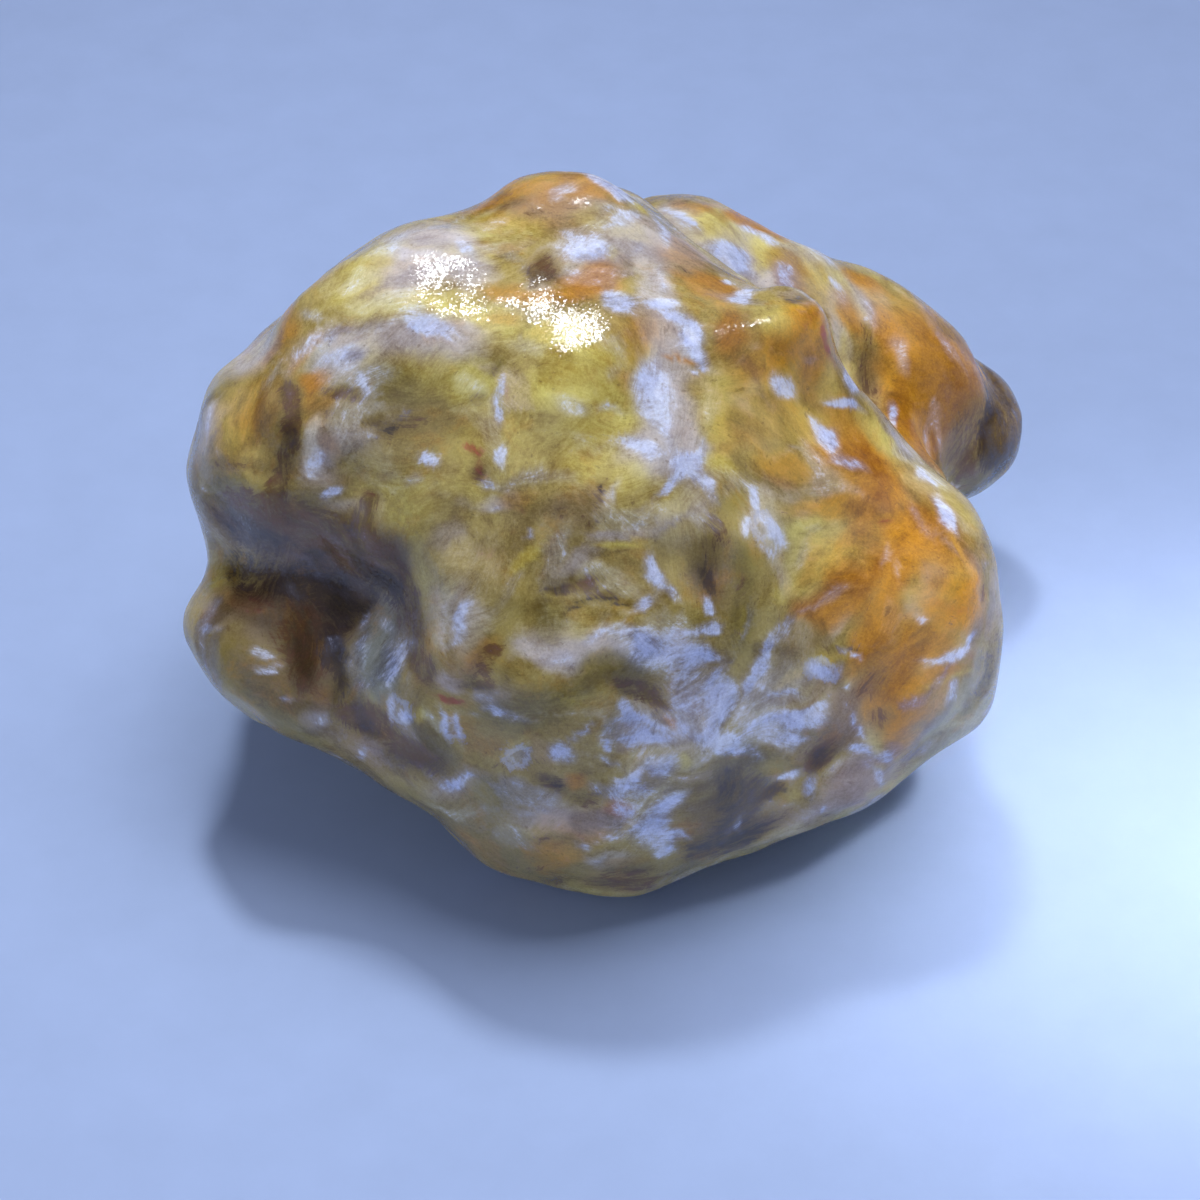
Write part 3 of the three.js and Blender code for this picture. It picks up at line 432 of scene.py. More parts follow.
# A patch is whole up to one share of the way to its rim and gone at another. In mm, it reaches so deep, and
# its outline sways so far over such a size.
PATCH_WHOLE = 0.45
PATCH_GONE = 1.6
PATCH_DEPTH = 1.2
PATCH_SWAYS = ((0.35, 1.7), (0.15, 0.6))
RING_DEPTH = 0.8
RING_SWAY = (0.1, 0.6)
NO_RING = 3.0

# How many patches of each mineral lie on the sides, the back and the underside, and the shortest, longest,
# narrowest and widest of them in mm.
SCATTER = {
    "veil": (100, 1.2, 4.6, 0.8, 2.4),
    "mauve": (44, 1.0, 3.4, 0.6, 1.8),
    "olive": (34, 1.2, 4.0, 0.7, 2.0),
    "lemon": (70, 1.0, 4.0, 0.6, 2.2),
    "amber": (120, 1.2, 5.0, 0.8, 3.0),
    "shade": (22, 1.6, 5.0, 0.8, 2.4),
    "umber": (56, 0.7, 3.6, 0.4, 1.4),
    "teal": (8, 1.0, 2.6, 0.7, 1.6),
    "blush": (24, 0.4, 1.2, 0.25, 0.5),
    "frost": (230, 0.5, 2.2, 0.25, 0.9),
    "ink": (34, 0.5, 2.8, 0.3, 1.2),
}
SCATTER_STRENGTHS = (0.45, 1.0)
SCATTER_SEED = 29

# Which of the vector noises sways the outlines of the patches and turns the fibres.
SWAY_SEED = 5

# The iron stain on the hidden sides is weakest on the left, and whole this far to the right in mm.
WARM_SIDE = 6.0
WEAKEST_WARMTH = 0.6

# Small lumps of the front: across, up, width, height (mm).
LUMPS = [
    (5.45, 6.5, 2.2, 0.26), (-5.2, 8.1, 2.8, -0.04), (-2.7, 7.0, 1.8, 0.12), (-0.5, 6.2, 2.0, -0.04),
    (-0.6, 8.9, 2.4, 0.07), (-1.6, 9.3, 3.0, 0.1),
]

# Sizes in mm of the swells and ripples of the skin, how high the finer ripples are beside the coarser ones,
# how deep umber is worn in beside ink, and the height in mm over which the skin settles on the floor.
SWELL_SIZE = 2.6
RIPPLE_SIZES = (0.9, 0.45)
FINE_RIPPLE = 0.5
UMBER_SINK = 0.7
SETTLING_HEIGHT = 0.8

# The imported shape's points closer than this, in mm, are one, and its triangles pair up to this angle.
SAME_POINT = 0.001
PAIR_ANGLE = math.radians(60.0)
SKIN_LEVELS = 2

# The fibres lie in thin sheets. Each family of sheets is thin along one of these ways.
SHEETS = {
    "upright": ACROSS,
    "level": UP_FACE,
    "falling": (ACROSS + UP_FACE).normalized(),
    "rising": (ACROSS - UP_FACE).normalized(),
    "deep": OUT,
}
SHEET_WIDTH = 0.14
SHEET_LENGTH = 1.3
SHEET_DETAIL = 5.0
SHEET_ROUGHNESS = 0.78
FIBRE_CONTRAST = 3.2

# Bundles of fibres: how many cover the skin, their shortest and longest length and width in mm, and how far
# their headings stray. Where no patch leads them at least a little, they turn slowly, over a size in mm.
BUNDLES = 2200
BUNDLE_LENGTHS = (0.8, 2.6)
BUNDLE_WIDTHS = (0.35, 0.8)
BUNDLE_STRAY = math.radians(22.0)
WEAKEST_LEAD = 0.1
BUNDLE_TURNS = 3.0
BUNDLE_SEED = 11

# How the bundles meet: how many are near each place, how sharply one gives way to the next, how strictly
# each takes the sheets that run its way, and the size in mm of the slow changes of tone over them.
BUNDLES_NEAR = 8
BUNDLE_SHARPNESS = 5.0
LAY_STRICTNESS = 8
TONE_SIZE = 3.0

# The share of the bundles that each mineral fills outside its patches, and how strongly.
STRAYS = {
    "veil": (0.20, 0.32),
    "olive": (0.18, 0.22),
    "lemon": (0.20, 0.35),
    "amber": (0.10, 0.30),
    "umber": (0.12, 0.18),
    "blush": (0.015, 0.30),
    "frost": (0.18, 0.45),
}
STRAY_EDGE = 0.06

# Fine patterns of the stone and the floor: size in mm, detail, roughness, and which part of the noise shows.
PATTERNS = {
    "clouds": (0.5, 6.0, 0.76, 31.0),
    "grain": (0.08, 2.0, 0.8, 91.0),
    "rust": (1.5, 5.0, 0.7, 83.0),
    "flecks": (0.22, 3.0, 0.6, 57.0),
    "haze": (2.6, 3.0, 0.5, 71.0),
    "mottle": (2.5, 4.0, 0.6, 0.0),
}
# The patterns swirl: over what size and how far, in mm.
SWIRLS = ((4.5, 1.6), (1.0, 0.12))
FACET_SIZES = (0.035, 0.07)

# Light goes a little way into the stone: what share of it, how far in mm, and how far by colour.
QUARTZ_IOR = 1.54
CLEAR_SHARE = 0.22
CLEAR_DEPTH = 0.6
CLEAR_COLOURS = (1.0, 0.75, 0.45)

# The round lights: width, place and aim in mm, how far the light spreads in degrees, its colour, and whether
# a gloss mirrors it.
WHITE = (0.92, 0.95, 1.0)
COOL = (0.95, 0.96, 1.0)
KEY_WAY = Vector((-0.09, 0.43, 0.9)).normalized()
KEY_LIGHT = (39.0, AIM + KEY_WAY * 285.0, AIM, 34.0, WHITE, True)
POOL_LIGHT = (24.0, Vector((62.0, -20.0, 90.0)), Vector((22.0, -6.0, 0.0)), 17.0, COOL, False)
FILL_LIGHT = (360.0, AIM + Vector((-150.0, -268.0, 150.0)), AIM, 100.0, COOL, False)
SOFT_LIGHT_PLACE = AIM + Vector((96.0, 62.0, 391.0))

# The camera's lens and film width in mm, and the nearest and farthest that it sees in metres.
LENS = 100.0
FILM_WIDTH = 36.0
NEAREST_SEEN = 0.001
FARTHEST_SEEN = 10.0

# The floor lies so far under the stone, in mm, and its mottling is a small share lighter and darker.
FLOOR_GAP = 0.01
FLOOR_MOTTLE = 0.06


def linear(swatch):
    """The linear colour of a paint swatch given in display values from 0 to 255."""
    values = []
    for level in swatch:
        share = level / 255.0
        values.append(share / 12.92 if share <= 0.04045 else ((share + 0.055) / 1.055) ** 2.4)
    return tuple(values)


def tint(name, description, swatch):
    """A colour setting whose default is a paint swatch."""
    return bpy.props.FloatVectorProperty(
        name=name, description=description, default=linear(swatch), subtype="COLOR", min=0.0, max=1.0)


class AgateStone(bpy.types.PropertyGroup):
    """Sizes and colours of the stone."""

    swell: bpy.props.FloatProperty(
        name="Swell", description="Height of the broad low swells of the skin",
        default=0.045 * MM, unit="LENGTH", precision=6)
    ripple: bpy.props.FloatProperty(
        name="Ripple", description="Height of the small ripples of the skin",
        default=0.013 * MM, unit="LENGTH", precision=6)
    sink: bpy.props.FloatProperty(
        name="Sink", description="How far the dark minerals are worn in below the rest",
        default=0.07 * MM, unit="LENGTH", precision=6)
    sparkle: bpy.props.FloatProperty(
        name="Sparkle", description="How far the tiny facets of the worn skin are tilted",
        default=0.12, subtype="FACTOR", min=0.0, max=1.0)
    gloss: bpy.props.FloatProperty(
        name="Gloss roughness", description="Roughness of the worn skin",
        default=0.18, subtype="FACTOR", min=0.0, max=1.0)
    fleck: tint("Fleck", "Colour of the small flecks", (84, 56, 30))


def mineral_tints():
    """The colour settings of the minerals, a deep tone and a light one each, such as veil_deep."""
    tints = {}
    for kind, (what, *swatches) in MINERALS.items():
        for depth, swatch in zip(("deep", "light"), swatches):
            tints[f"{kind}_{depth}"] = tint(
                f"{kind.capitalize()}, {depth}", f"{depth.capitalize()} tone of the {what}", swatch)
    return tints


AgateStone.__annotations__.update(mineral_tints())


class AgateStage(bpy.types.PropertyGroup):
    """Size and colour of the floor, and strengths of the lights."""

    floor_width: bpy.props.FloatProperty(
        name="Floor width", description="Width of the floor", default=3.0, unit="LENGTH")
    floor_colour: tint("Floor", "Colour of the pale floor", (154, 172, 208))
    key_power: bpy.props.FloatProperty(
        name="Key light", description="Power of the round light overhead", default=0.0155, unit="POWER")
    pool_power: bpy.props.FloatProperty(
        name="Pool light", description="Power of the light on the floor at the right", default=0.0022,
        unit="POWER")
    fill_power: bpy.props.FloatProperty(
        name="Fill light", description="Power of the wide light in front, on the left", default=0.10,
        unit="POWER")
    soft_strength: bpy.props.FloatProperty(
        name="Soft light", description="Strength of the wide light overhead, in watts a square metre",
        default=1.68)
    soft_width: bpy.props.FloatProperty(
        name="Soft light width", description="How wide the light overhead is, seen from the stone",
        default=math.radians(44.0), subtype="ANGLE")
    ambient: bpy.props.FloatProperty(
        name="Ambient", description="Strength of the light from all round", default=0.35)
    ambient_colour: tint("Ambient colour", "Colour of the light from all round", (196, 205, 235))


class Wire:
    """An output of a shader node. Arithmetic on it adds Math nodes, or Vector Math where it is a vector."""

    def __init__(self, sheet, socket):
        self.sheet = sheet
        self.socket = socket

    def combine(self, operation, first, second):
        sides = (first, second)
        vectors = [is_vector(side) for side in sides]
        if not any(vectors):
            return self.sheet.add(
                "ShaderNodeMath", {"operation": operation}, {"Value": first, "Value_001": second})
        if operation == "MULTIPLY" and not all(vectors):
            vector, scale = sides if vectors[0] else sides[::-1]
            return self.sheet.vector("SCALE", {"Vector": vector, "Scale": scale})
        return self.sheet.vector(operation, {"Vector": first, "Vector_001": second})

    def __add__(self, other):
        return self.combine("ADD", self, other)

    def __radd__(self, other):
        return self.combine("ADD", other, self)

    def __sub__(self, other):
        return self.combine("SUBTRACT", self, other)

    def __rsub__(self, other):
        return self.combine("SUBTRACT", other, self)

    def __mul__(self, other):
        return self.combine("MULTIPLY", self, other)

    def __rmul__(self, other):
        return self.combine("MULTIPLY", other, self)


def is_vector(side):
    """Whether one side of a sum is a vector or a colour, and not a plain value."""
    if isinstance(side, Wire):
        return side.socket.type != "VALUE"
    return isinstance(side, (tuple, Vector))


class Sheet:
    """The node sheet of one material."""

    def __init__(self, name):
        self.material = bpy.data.materials.new(name)
        self.material.use_nodes = True
        self.tree = self.material.node_tree
        self.tree.nodes.clear()

    def add(self, kind, settings=None, sockets=None, output=0):
        """Adds a node, sets it up, feeds its sockets with numbers or wires, and gives one of its outputs."""
        node = self.tree.nodes.new(kind)
        for name, value in (settings or {}).items():
            setattr(node, name, value)
        for name, value in (sockets or {}).items():
            socket = next(
                entry for entry in node.inputs if entry.enabled and name in (entry.identifier, entry.name))
            if isinstance(value, Wire):
                self.tree.links.new(value.socket, socket)
            else:
                socket.default_value = value
        return Wire(self, node.outputs[output]) if len(node.outputs) else None

    def vector(self, operation, sockets, output="Vector"):
        """Vector Math on the values of its sockets."""
        return self.add("ShaderNodeVectorMath", {"operation": operation}, sockets, output)

    def spread(self, value, low, high):
        """Runs smoothly from 0 where the value is low to 1 where it is high."""
        return self.add(
            "ShaderNodeMapRange", {"interpolation_type": "SMOOTHSTEP"},
            {"Value": value, "From Min": low, "From Max": high})

    def mix(self, amount, first, second):
        """The first colour, running to the second one as the amount goes from 0 to 1."""
        sides = [side if isinstance(side, Wire) else (*side, 1.0) for side in (first, second)]
        return self.add(
            "ShaderNodeMix", {"data_type": "RGBA"},
            {"Factor_Float": amount, "A_Color": sides[0], "B_Color": sides[1]}, "Result")

    def noise(self, place, size, detail, roughness, part):
        """Cloudy noise from 0 to 1 with features of about the given size in mm."""
        return self.add("ShaderNodeTexNoise", {}, {
            "Vector": place + (part, 0.7 * part, 0.3 * part), "Scale": 1.0 / size,
            "Detail": detail, "Roughness": roughness}, "Fac")

    def stir(self, place, size, reach):
        """The place moved about by noise, so that what is drawn at it swirls."""
        sway = self.add("ShaderNodeTexNoise", {}, {
            "Vector": place, "Scale": 1.0 / size, "Detail": 1.0}, "Color")
        return place + (sway - (0.5, 0.5, 0.5)) * (2.0 * reach)

    def tokens(self, place, size):
        """A random vector, from 0 to 1 each way, for each cell of the given size in mm."""
        return self.add("ShaderNodeTexVoronoi", {}, {"Vector": place, "Scale": 1.0 / size}, "Color")

    def painted(self, name):
        """A value painted on the skin."""
        return self.add(
            "ShaderNodeAttribute", {"attribute_type": "GEOMETRY", "attribute_name": name}, {}, "Fac")

    def wash(self, under, over, pattern, low, high, share):
        """Lays a colour over another, up to a share, as a pattern runs from low to high."""
        return self.mix(self.spread(pattern, low, high) * share, under, over)


def sheet_fibres(sheet, place, thin, part):
    """Fibres in sheets that are thin one way, from about -1 to 1: long streaks where the skin cuts them."""
    depth = sheet.vector("DOT_PRODUCT", {"Vector": place, "Vector_001": thin}, "Value")
    squeezed = place * (1.0 / SHEET_LENGTH) + depth * (1.0 / SHEET_WIDTH - 1.0 / SHEET_LENGTH) * thin
    return (sheet.noise(squeezed, 1.0, SHEET_DETAIL, SHEET_ROUGHNESS, part) - 0.5) * FIBRE_CONTRAST


def stone_material(look):
    """Glossy, slightly clear chalcedony with fibrous minerals in patches."""
    sheet = Sheet("agate_stone")
    place = sheet.add("ShaderNodeTexCoord", output="Object") * (1.0 / MM)
    swirled = place
    for size, reach in SWIRLS:
        swirled = sheet.stir(swirled, size, reach)

    fibres = 0.0
    for number, (name, thin) in enumerate(SHEETS.items()):
        fibres = fibres + sheet.painted(name) * sheet_fibres(sheet, swirled, thin, 7.0 * number)
    clouds = (sheet.noise(swirled, *PATTERNS["clouds"]) - 0.5) * 2.0
    grain = (sheet.noise(place, *PATTERNS["grain"]) - 0.5) * 2.0
    edge = fibres * 0.175 + clouds * 0.35
    shades = fibres * 0.35 + clouds * 0.5 + grain * 0.3 + sheet.painted("tone") * 0.3
    tone = sheet.spread(shades, -0.65, 0.65)
    strands = sheet.spread(fibres * 0.3 + clouds * 0.9 + grain * 0.2, -0.35, 0.4)

    def mineral(name):
        return sheet.mix(tone, getattr(look, name + "_deep"), getattr(look, name + "_light"))

    def growth(name, haze, ragged, fibrous):
        field = sheet.painted(name)
        halo = sheet.spread(field + edge, *HAZE_RANGE)
        feathers = fibres * fibrous + clouds * (1.25 - fibrous)
        core = sheet.spread(field + feathers * ragged, *CORE_RANGE)
        return halo * haze + core * (strands * 0.5 + 0.5) * (1.0 - haze)

    colour = mineral("ground")
    for name, strength in STAINS.items():
        colour = sheet.wash(colour, mineral(name), sheet.painted(name) + edge, *STAIN_RANGE, share=strength)
    bare = 1.0 - sheet.painted("veil") * 0.8
    rust = sheet.noise(swirled, *PATTERNS["rust"])
    colour = sheet.wash(colour, mineral("amber"), rust, low=0.5, high=0.72, share=bare * 0.34)
    for name, habit in GROWTHS.items():
        colour = sheet.mix(growth(name, *habit), colour, mineral(name))

    ring = sheet.painted("ring") + clouds * 1.1 + fibres * 0.4
    inside = 1.0 - sheet.spread(ring, *RING_END)
    rim = sheet.spread(ring, *RIM_RANGE) * inside
    colour = sheet.mix(rim * 0.3 + inside * 0.15, colour, mineral("frost"))
    flecks = sheet.noise(swirled, *PATTERNS["flecks"])
    colour = sheet.wash(colour, look.fleck, flecks, low=0.62, high=0.72, share=0.35)
    needles = fibres + grain * 0.4
    colour = sheet.wash(colour, look.frost_light, needles, low=0.5, high=0.95, share=0.3)
    # A faint pale haze over the whole stone: milky chalcedony and a painted glow in one.
    haze = sheet.noise(swirled, *PATTERNS["haze"])
    colour = sheet.wash(colour, look.veil_light, haze, low=0.3, high=0.7, share=0.05)

    facing = sheet.add("ShaderNodeNewGeometry", output="Normal")
    coarse, fine = [sheet.tokens(place, size) for size in FACET_SIZES]
    tilted = facing + (coarse + fine - (1.0, 1.0, 1.0)) * look.sparkle
    facets = sheet.vector("NORMALIZE", {"Vector": tilted})

    surface = sheet.add("ShaderNodeBsdfPrincipled", {}, {
        "Base Color": colour, "Roughness": look.gloss, "Normal": facets, "IOR": QUARTZ_IOR,
        "Subsurface Weight": CLEAR_SHARE, "Subsurface Radius": CLEAR_COLOURS,
        "Subsurface Scale": CLEAR_DEPTH * MM}, "BSDF")
    sheet.add("ShaderNodeOutputMaterial", {}, {"Surface": surface})
    return sheet.material


def floor_material(stage):
    """Smooth pale floor with faint mottling."""
    sheet = Sheet("pale_floor")
    place = sheet.add("ShaderNodeTexCoord", output="Object") * (1.0 / MM)
    mottle = sheet.noise(place, *PATTERNS["mottle"])
    shares = (1.0 - FLOOR_MOTTLE, 1.0 + FLOOR_MOTTLE)
    darker, paler = [tuple(share * level for level in stage.floor_colour) for share in shares]
    surface = sheet.add("ShaderNodeBsdfPrincipled", {}, {
        "Base Color": sheet.mix(mottle, darker, paler), "Roughness": 0.8, "Specular IOR Level": 0.2}, "BSDF")
    sheet.add("ShaderNodeOutputMaterial", {}, {"Surface": surface})
    return sheet.material


def fine_skin(source):
    """A fine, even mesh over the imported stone: its triangles paired up, then subdivided."""
    work = bmesh.new()
    work.from_mesh(source)
    bmesh.ops.remove_doubles(work, verts=work.verts, dist=SAME_POINT * MM)
    bmesh.ops.join_triangles(
        work, faces=work.faces, angle_face_threshold=PAIR_ANGLE, angle_shape_threshold=PAIR_ANGLE)
    coarse = bpy.data.meshes.new("stone_coarse")
    work.to_mesh(coarse)
    work.free()
    holder = bpy.data.objects.new("stone_coarse", coarse)
    bpy.context.scene.collection.objects.link(holder)
    divide = holder.modifiers.new("divide", "SUBSURF")
    divide.levels = SKIN_LEVELS
    divide.render_levels = SKIN_LEVELS
    graph = bpy.context.evaluated_depsgraph_get()
    skin = bpy.data.meshes.new_from_object(holder.evaluated_get(graph))
    bpy.data.objects.remove(holder)
    bpy.data.meshes.remove(coarse)
    skin.materials.clear()
    return skin


def waves(places, size, part):
    """Smooth noise of about -1 to 1 at each place, with features of the given size in mm."""
    offset = Vector((17.3, 5.1, 9.7)) * part
    return np.array([noise.noise(Vector(place) / size + offset) for place in places])


def sways(places, size, part):
    """Smooth vector noise at each place, with features of the given size in mm."""
    offset = Vector((3.3, 12.1, 7.9)) * part
    return np.array([noise.noise_vector(Vector(place) / size + offset) for place in places])


def ease(values, low, high):
    """Runs smoothly from 0 where a value is low to 1 where it is high."""
    share = np.clip((values - low) / (high - low), 0.0, 1.0)
    return share * share * (3.0 - 2.0 * share)


class Skin:
    """What the painter knows of the stone's skin: its places and normals in mm, and how its front looks."""

    def __init__(self, mesh):
        self.places = self.read(mesh.vertices, "co") / MM
        self.normals = self.read(mesh.vertex_normals, "vector")
        self.tree = BVHTree.FromPolygons(
            [Vector(place) for place in self.places], [tuple(face.vertices) for face in mesh.polygons])
        self.stirred = self.places
        for part, (reach, size) in enumerate(PATCH_SWAYS, 1):
            self.stirred = self.stirred + reach * sways(self.places, size, part)
        self.shown = self.shown_share()
        self.lead = np.zeros(len(self.places))
        self.heading = np.zeros((len(self.places), 3))

    @staticmethod
    def read(entries, name):
        """One vector for each entry, as the rows of an array."""
        flat = np.empty(len(entries) * 3)
        entries.foreach_get(name, flat)
        return flat.reshape(-1, 3)

    def shown_share(self):
        """1 where the skin faces the eye and nothing is in the way, running to 0 round the sides."""
        ray = np.array(EYE) - self.places
        ray /= np.linalg.norm(ray, axis=1)[:, None]
        facing = np.einsum("ij,ij->i", ray, self.normals)
        clear = np.ones(len(facing))
        for index in np.nonzero(facing > 0.0)[0]:
            start = Vector(self.places[index]) + Vector(self.normals[index]) * OFF_SKIN
            if self.tree.ray_cast(start, Vector(ray[index]))[0] is not None:
                clear[index] = 0.0
        return ease(facing, FRONT_END, 0.0) * clear

    def struck(self, across, up):
        """The place on the stone behind a place on the front face, and how far from the eye it is."""
        target = FACE_CENTRE + ACROSS * across + UP_FACE * up
        hit = self.tree.ray_cast(EYE, (target - EYE).normalized())[0] or self.tree.find_nearest(target)[0]
        return hit, (EYE - hit).dot(OUT)

    def follow(self, cover, heading):
        """Lays the fibres along a patch wherever it is the strongest long one so far."""
        stronger = cover > self.lead
        self.lead[stronger] = cover[stronger]
        self.heading[stronger] = heading


def face_places(places):
    """Each place as seen square on to the front face: across, up, and how far from the eye."""
    ray = places - np.array(EYE)
    depth = -ray @ np.array(OUT)
    zoom = EYE_REACH / depth
    return ray @ np.array(ACROSS) * zoom, ray @ np.array(UP_FACE) * zoom - AIM_BELOW_CENTRE, depth


def oval_reach(across, up, place, size, turn):
    """Distance from the middle of a turned oval, 1 on its rim."""
    turn = math.radians(turn)
    right = across - place[0]
    above = up - place[1]
    along = (right * math.cos(turn) + above * math.sin(turn)) / (0.5 * size[0])
    beside = (above * math.cos(turn) - right * math.sin(turn)) / (0.5 * size[1])
    return np.hypot(along, beside)


def patch_cover(reach):
    """How much of a patch is there at a distance from its middle that is 1 on its rim."""
    return 1.0 - ease(reach, PATCH_WHOLE, PATCH_GONE)


def front_patches(skin, rows):
    """How strongly one mineral's patches cover each vertex of the front."""
    across, up, depth = face_places(skin.stirred)
    left = np.ones(len(across))
    for *place, length, width, turn, strength in rows:
        reach = oval_reach(across, up, place, (length, width), turn)
        deep = (depth - skin.struck(*place)[1]) / (PATCH_DEPTH + 0.5 * width)
        cover = strength * patch_cover(np.hypot(reach, deep))
        left *= 1.0 - cover
        heading = ACROSS * math.cos(math.radians(turn)) + UP_FACE * math.sin(math.radians(turn))
        skin.follow(cover * skin.shown * (1.0 - width / length), heading)
    return 1.0 - left


def scattered_patches(skin, kind, dice):
    """How strongly one mineral covers each vertex by patches at random places, each flat on the skin."""
    count, shortest, longest, narrowest, widest = SCATTER[kind]
    left = np.ones(len(skin.places))
    for _ in range(count):
        middle = dice.randrange(len(skin.places))
        length = dice.uniform(shortest, longest)
        width = min(length, dice.uniform(narrowest, widest))
        strength = dice.uniform(*SCATTER_STRENGTHS)
        if kind == "amber":
            strength *= min(1.0, max(WEAKEST_WARMTH, skin.places[middle][0] / WARM_SIDE))
        normal = Vector(skin.normals[middle])
        heading = normal.orthogonal().normalized()
        heading.rotate(Matrix.Rotation(dice.uniform(0.0, math.tau), 3, normal))
        away = skin.stirred - skin.places[middle]
        along = away @ np.array(heading) / (0.5 * length)
        beside = away @ np.array(normal.cross(heading)) / (0.5 * width)
        deep = away @ np.array(normal) / PATCH_DEPTH
        cover = strength * patch_cover(np.sqrt(along ** 2 + beside ** 2 + deep ** 2))
        left *= 1.0 - cover
        skin.follow(cover * (1.0 - skin.shown) * (1.0 - width / length), heading)
    return 1.0 - left


def bundle_heading(skin, middle, dice):
    """The way a bundle's fibres run along the skin: with the patch it lies in, or in slow turns elsewhere."""
    normal = Vector(skin.normals[middle])
    free = Vector(skin.heading[middle])
    if skin.lead[middle] < WEAKEST_LEAD:
        free = noise.noise_vector(Vector(skin.places[middle]) / BUNDLE_TURNS)
    heading = (free - normal * free.dot(normal)).normalized()
    heading.rotate(Matrix.Rotation(dice.gauss(0.0, BUNDLE_STRAY), 3, normal))
    return heading


def nearest_bundles(skin, middles):
    """The numbers of the bundles near each vertex."""
    finder = KDTree(BUNDLES)
    for number, middle in enumerate(middles):
        finder.insert(skin.places[middle], number)
    finder.balance()
    found = [finder.find_n(place, BUNDLES_NEAR) for place in skin.stirred]
    return np.array([[number for _, number, _ in bundles] for bundles in found])


def fibre_lays(headings, normals):
    """How well each family of sheets shows as streaks along each bundle, and across none."""
    lays = {}
    for name, thin in SHEETS.items():
        streaks = np.cross(normals, np.array(thin))
        size = np.linalg.norm(streaks, axis=1)
        aligned = np.abs(np.einsum("ij,ij->i", headings, streaks)) / np.maximum(size, 0.01)
        lays[name] = aligned ** LAY_STRICTNESS * size ** 2 + 0.001
    return lays


def paint_bundles(skin, fields):
    """Splits the skin in long bundles of fibres, and adds their lays, tones and minerals to the fields."""
    dice = random.Random(BUNDLE_SEED)
    middles = [dice.randrange(len(skin.places)) for _ in range(BUNDLES)]
    near = nearest_bundles(skin, middles)
    headings = np.array([bundle_heading(skin, middle, dice) for middle in middles])
    normals = skin.normals[middles]
    lengths = np.array([0.5 * dice.uniform(*BUNDLE_LENGTHS) for _ in middles])
    widths = np.array([0.5 * dice.uniform(*BUNDLE_WIDTHS) for _ in middles])

    away = skin.stirred[:, None, :] - skin.places[middles][near]
    along = np.einsum("ijk,ijk->ij", away, headings[near]) / lengths[near]
    beside = np.einsum("ijk,ijk->ij", away, np.cross(normals, headings)[near]) / widths[near]
    reach = np.hypot(along, beside)
    share = np.exp(-BUNDLE_SHARPNESS * (reach - reach.min(axis=1)[:, None]))
    share /= share.sum(axis=1)[:, None]

    def shared(values):
        return (share * values[near]).sum(axis=1)

    lays = {name: shared(lay) for name, lay in fibre_lays(headings, normals).items()}
    total = sum(lays.values())
    for name, lay in lays.items():
        fields[name] = lay / total
    for kind, (part, strength) in STRAYS.items():
        token = np.array([dice.random() for _ in middles])
        stray = shared(ease(token, 1.0 - part, 1.0 - part + STRAY_EDGE)) * strength
        fields[kind] = 1.0 - (1.0 - fields[kind]) * (1.0 - stray)
    token = np.array([dice.uniform(-1.0, 1.0) for _ in middles])
    fields["tone"] = shared(token) + 0.5 * waves(skin.places, TONE_SIZE, part=4.0)


def ring_field(skin):
    """For each vertex, how far out it is from the middle of the nearest ring, 1 on its rim."""
    reach, size = RING_SWAY
    across, up, depth = face_places(skin.places + reach * sways(skin.places, size, part=2.0))
    ring = np.full(len(skin.places), NO_RING)
    for *place, length, width, turn in RINGS:
        flat = oval_reach(across, up, place, (length, width), turn)
        deep = (depth - skin.struck(*place)[1]) / RING_DEPTH
        ring = np.minimum(ring, np.hypot(flat, deep))
    return ring


def paint_minerals(mesh, skin):
    """Gives the mesh an attribute for each mineral, each lay of fibres, the tone and the rings."""
    dice = random.Random(SCATTER_SEED)
    fields = {}
    for kind, rows in PATCHES.items():
        front = front_patches(skin, rows)
        hidden = scattered_patches(skin, kind, dice)
        fields[kind] = front * skin.shown + hidden * (1.0 - skin.shown)
    dark = np.clip(fields["umber"] + fields["ink"], 0.0, 1.0)
    paint_bundles(skin, fields)
    for kind in PUSHED_OUT:
        fields[kind] *= 1.0 - PUSHED_SHARE * dark
    fields["ring"] = ring_field(skin)
    for kind, field in fields.items():
        store = mesh.attributes.new(kind, "FLOAT", "POINT")
        store.data.foreach_set("value", field.astype(np.float32))
    return fields


def wear_skin(mesh, skin, fields, look):
    """Moves the skin out and in for its swells, lumps and worn-in minerals, and keeps it on the floor."""
    places = skin.places
    coarse, fine = RIPPLE_SIZES
    lift = look.swell / MM * waves(places, SWELL_SIZE, part=1.0)
    lift += look.ripple / MM * (waves(places, coarse, part=2.0) + FINE_RIPPLE * waves(places, fine, part=3.0))
    lift -= look.sink / MM * np.maximum(fields["ink"], UMBER_SINK * fields["umber"])
    for across, up, width, height in LUMPS:
        middle, _ = skin.struck(across, up)
        lift += height * np.exp(-2.0 * np.sum(((places - np.array(middle)) / (0.5 * width)) ** 2, axis=1))
    free = ease(places[:, 2], 0.0, SETTLING_HEIGHT)
    worn = places + skin.normals * (lift * free)[:, None]
    worn[:, 2] = np.maximum(worn[:, 2], 0.0)
    mesh.vertices.foreach_set("co", (worn * MM).astype(np.float32).ravel())
    mesh.update()


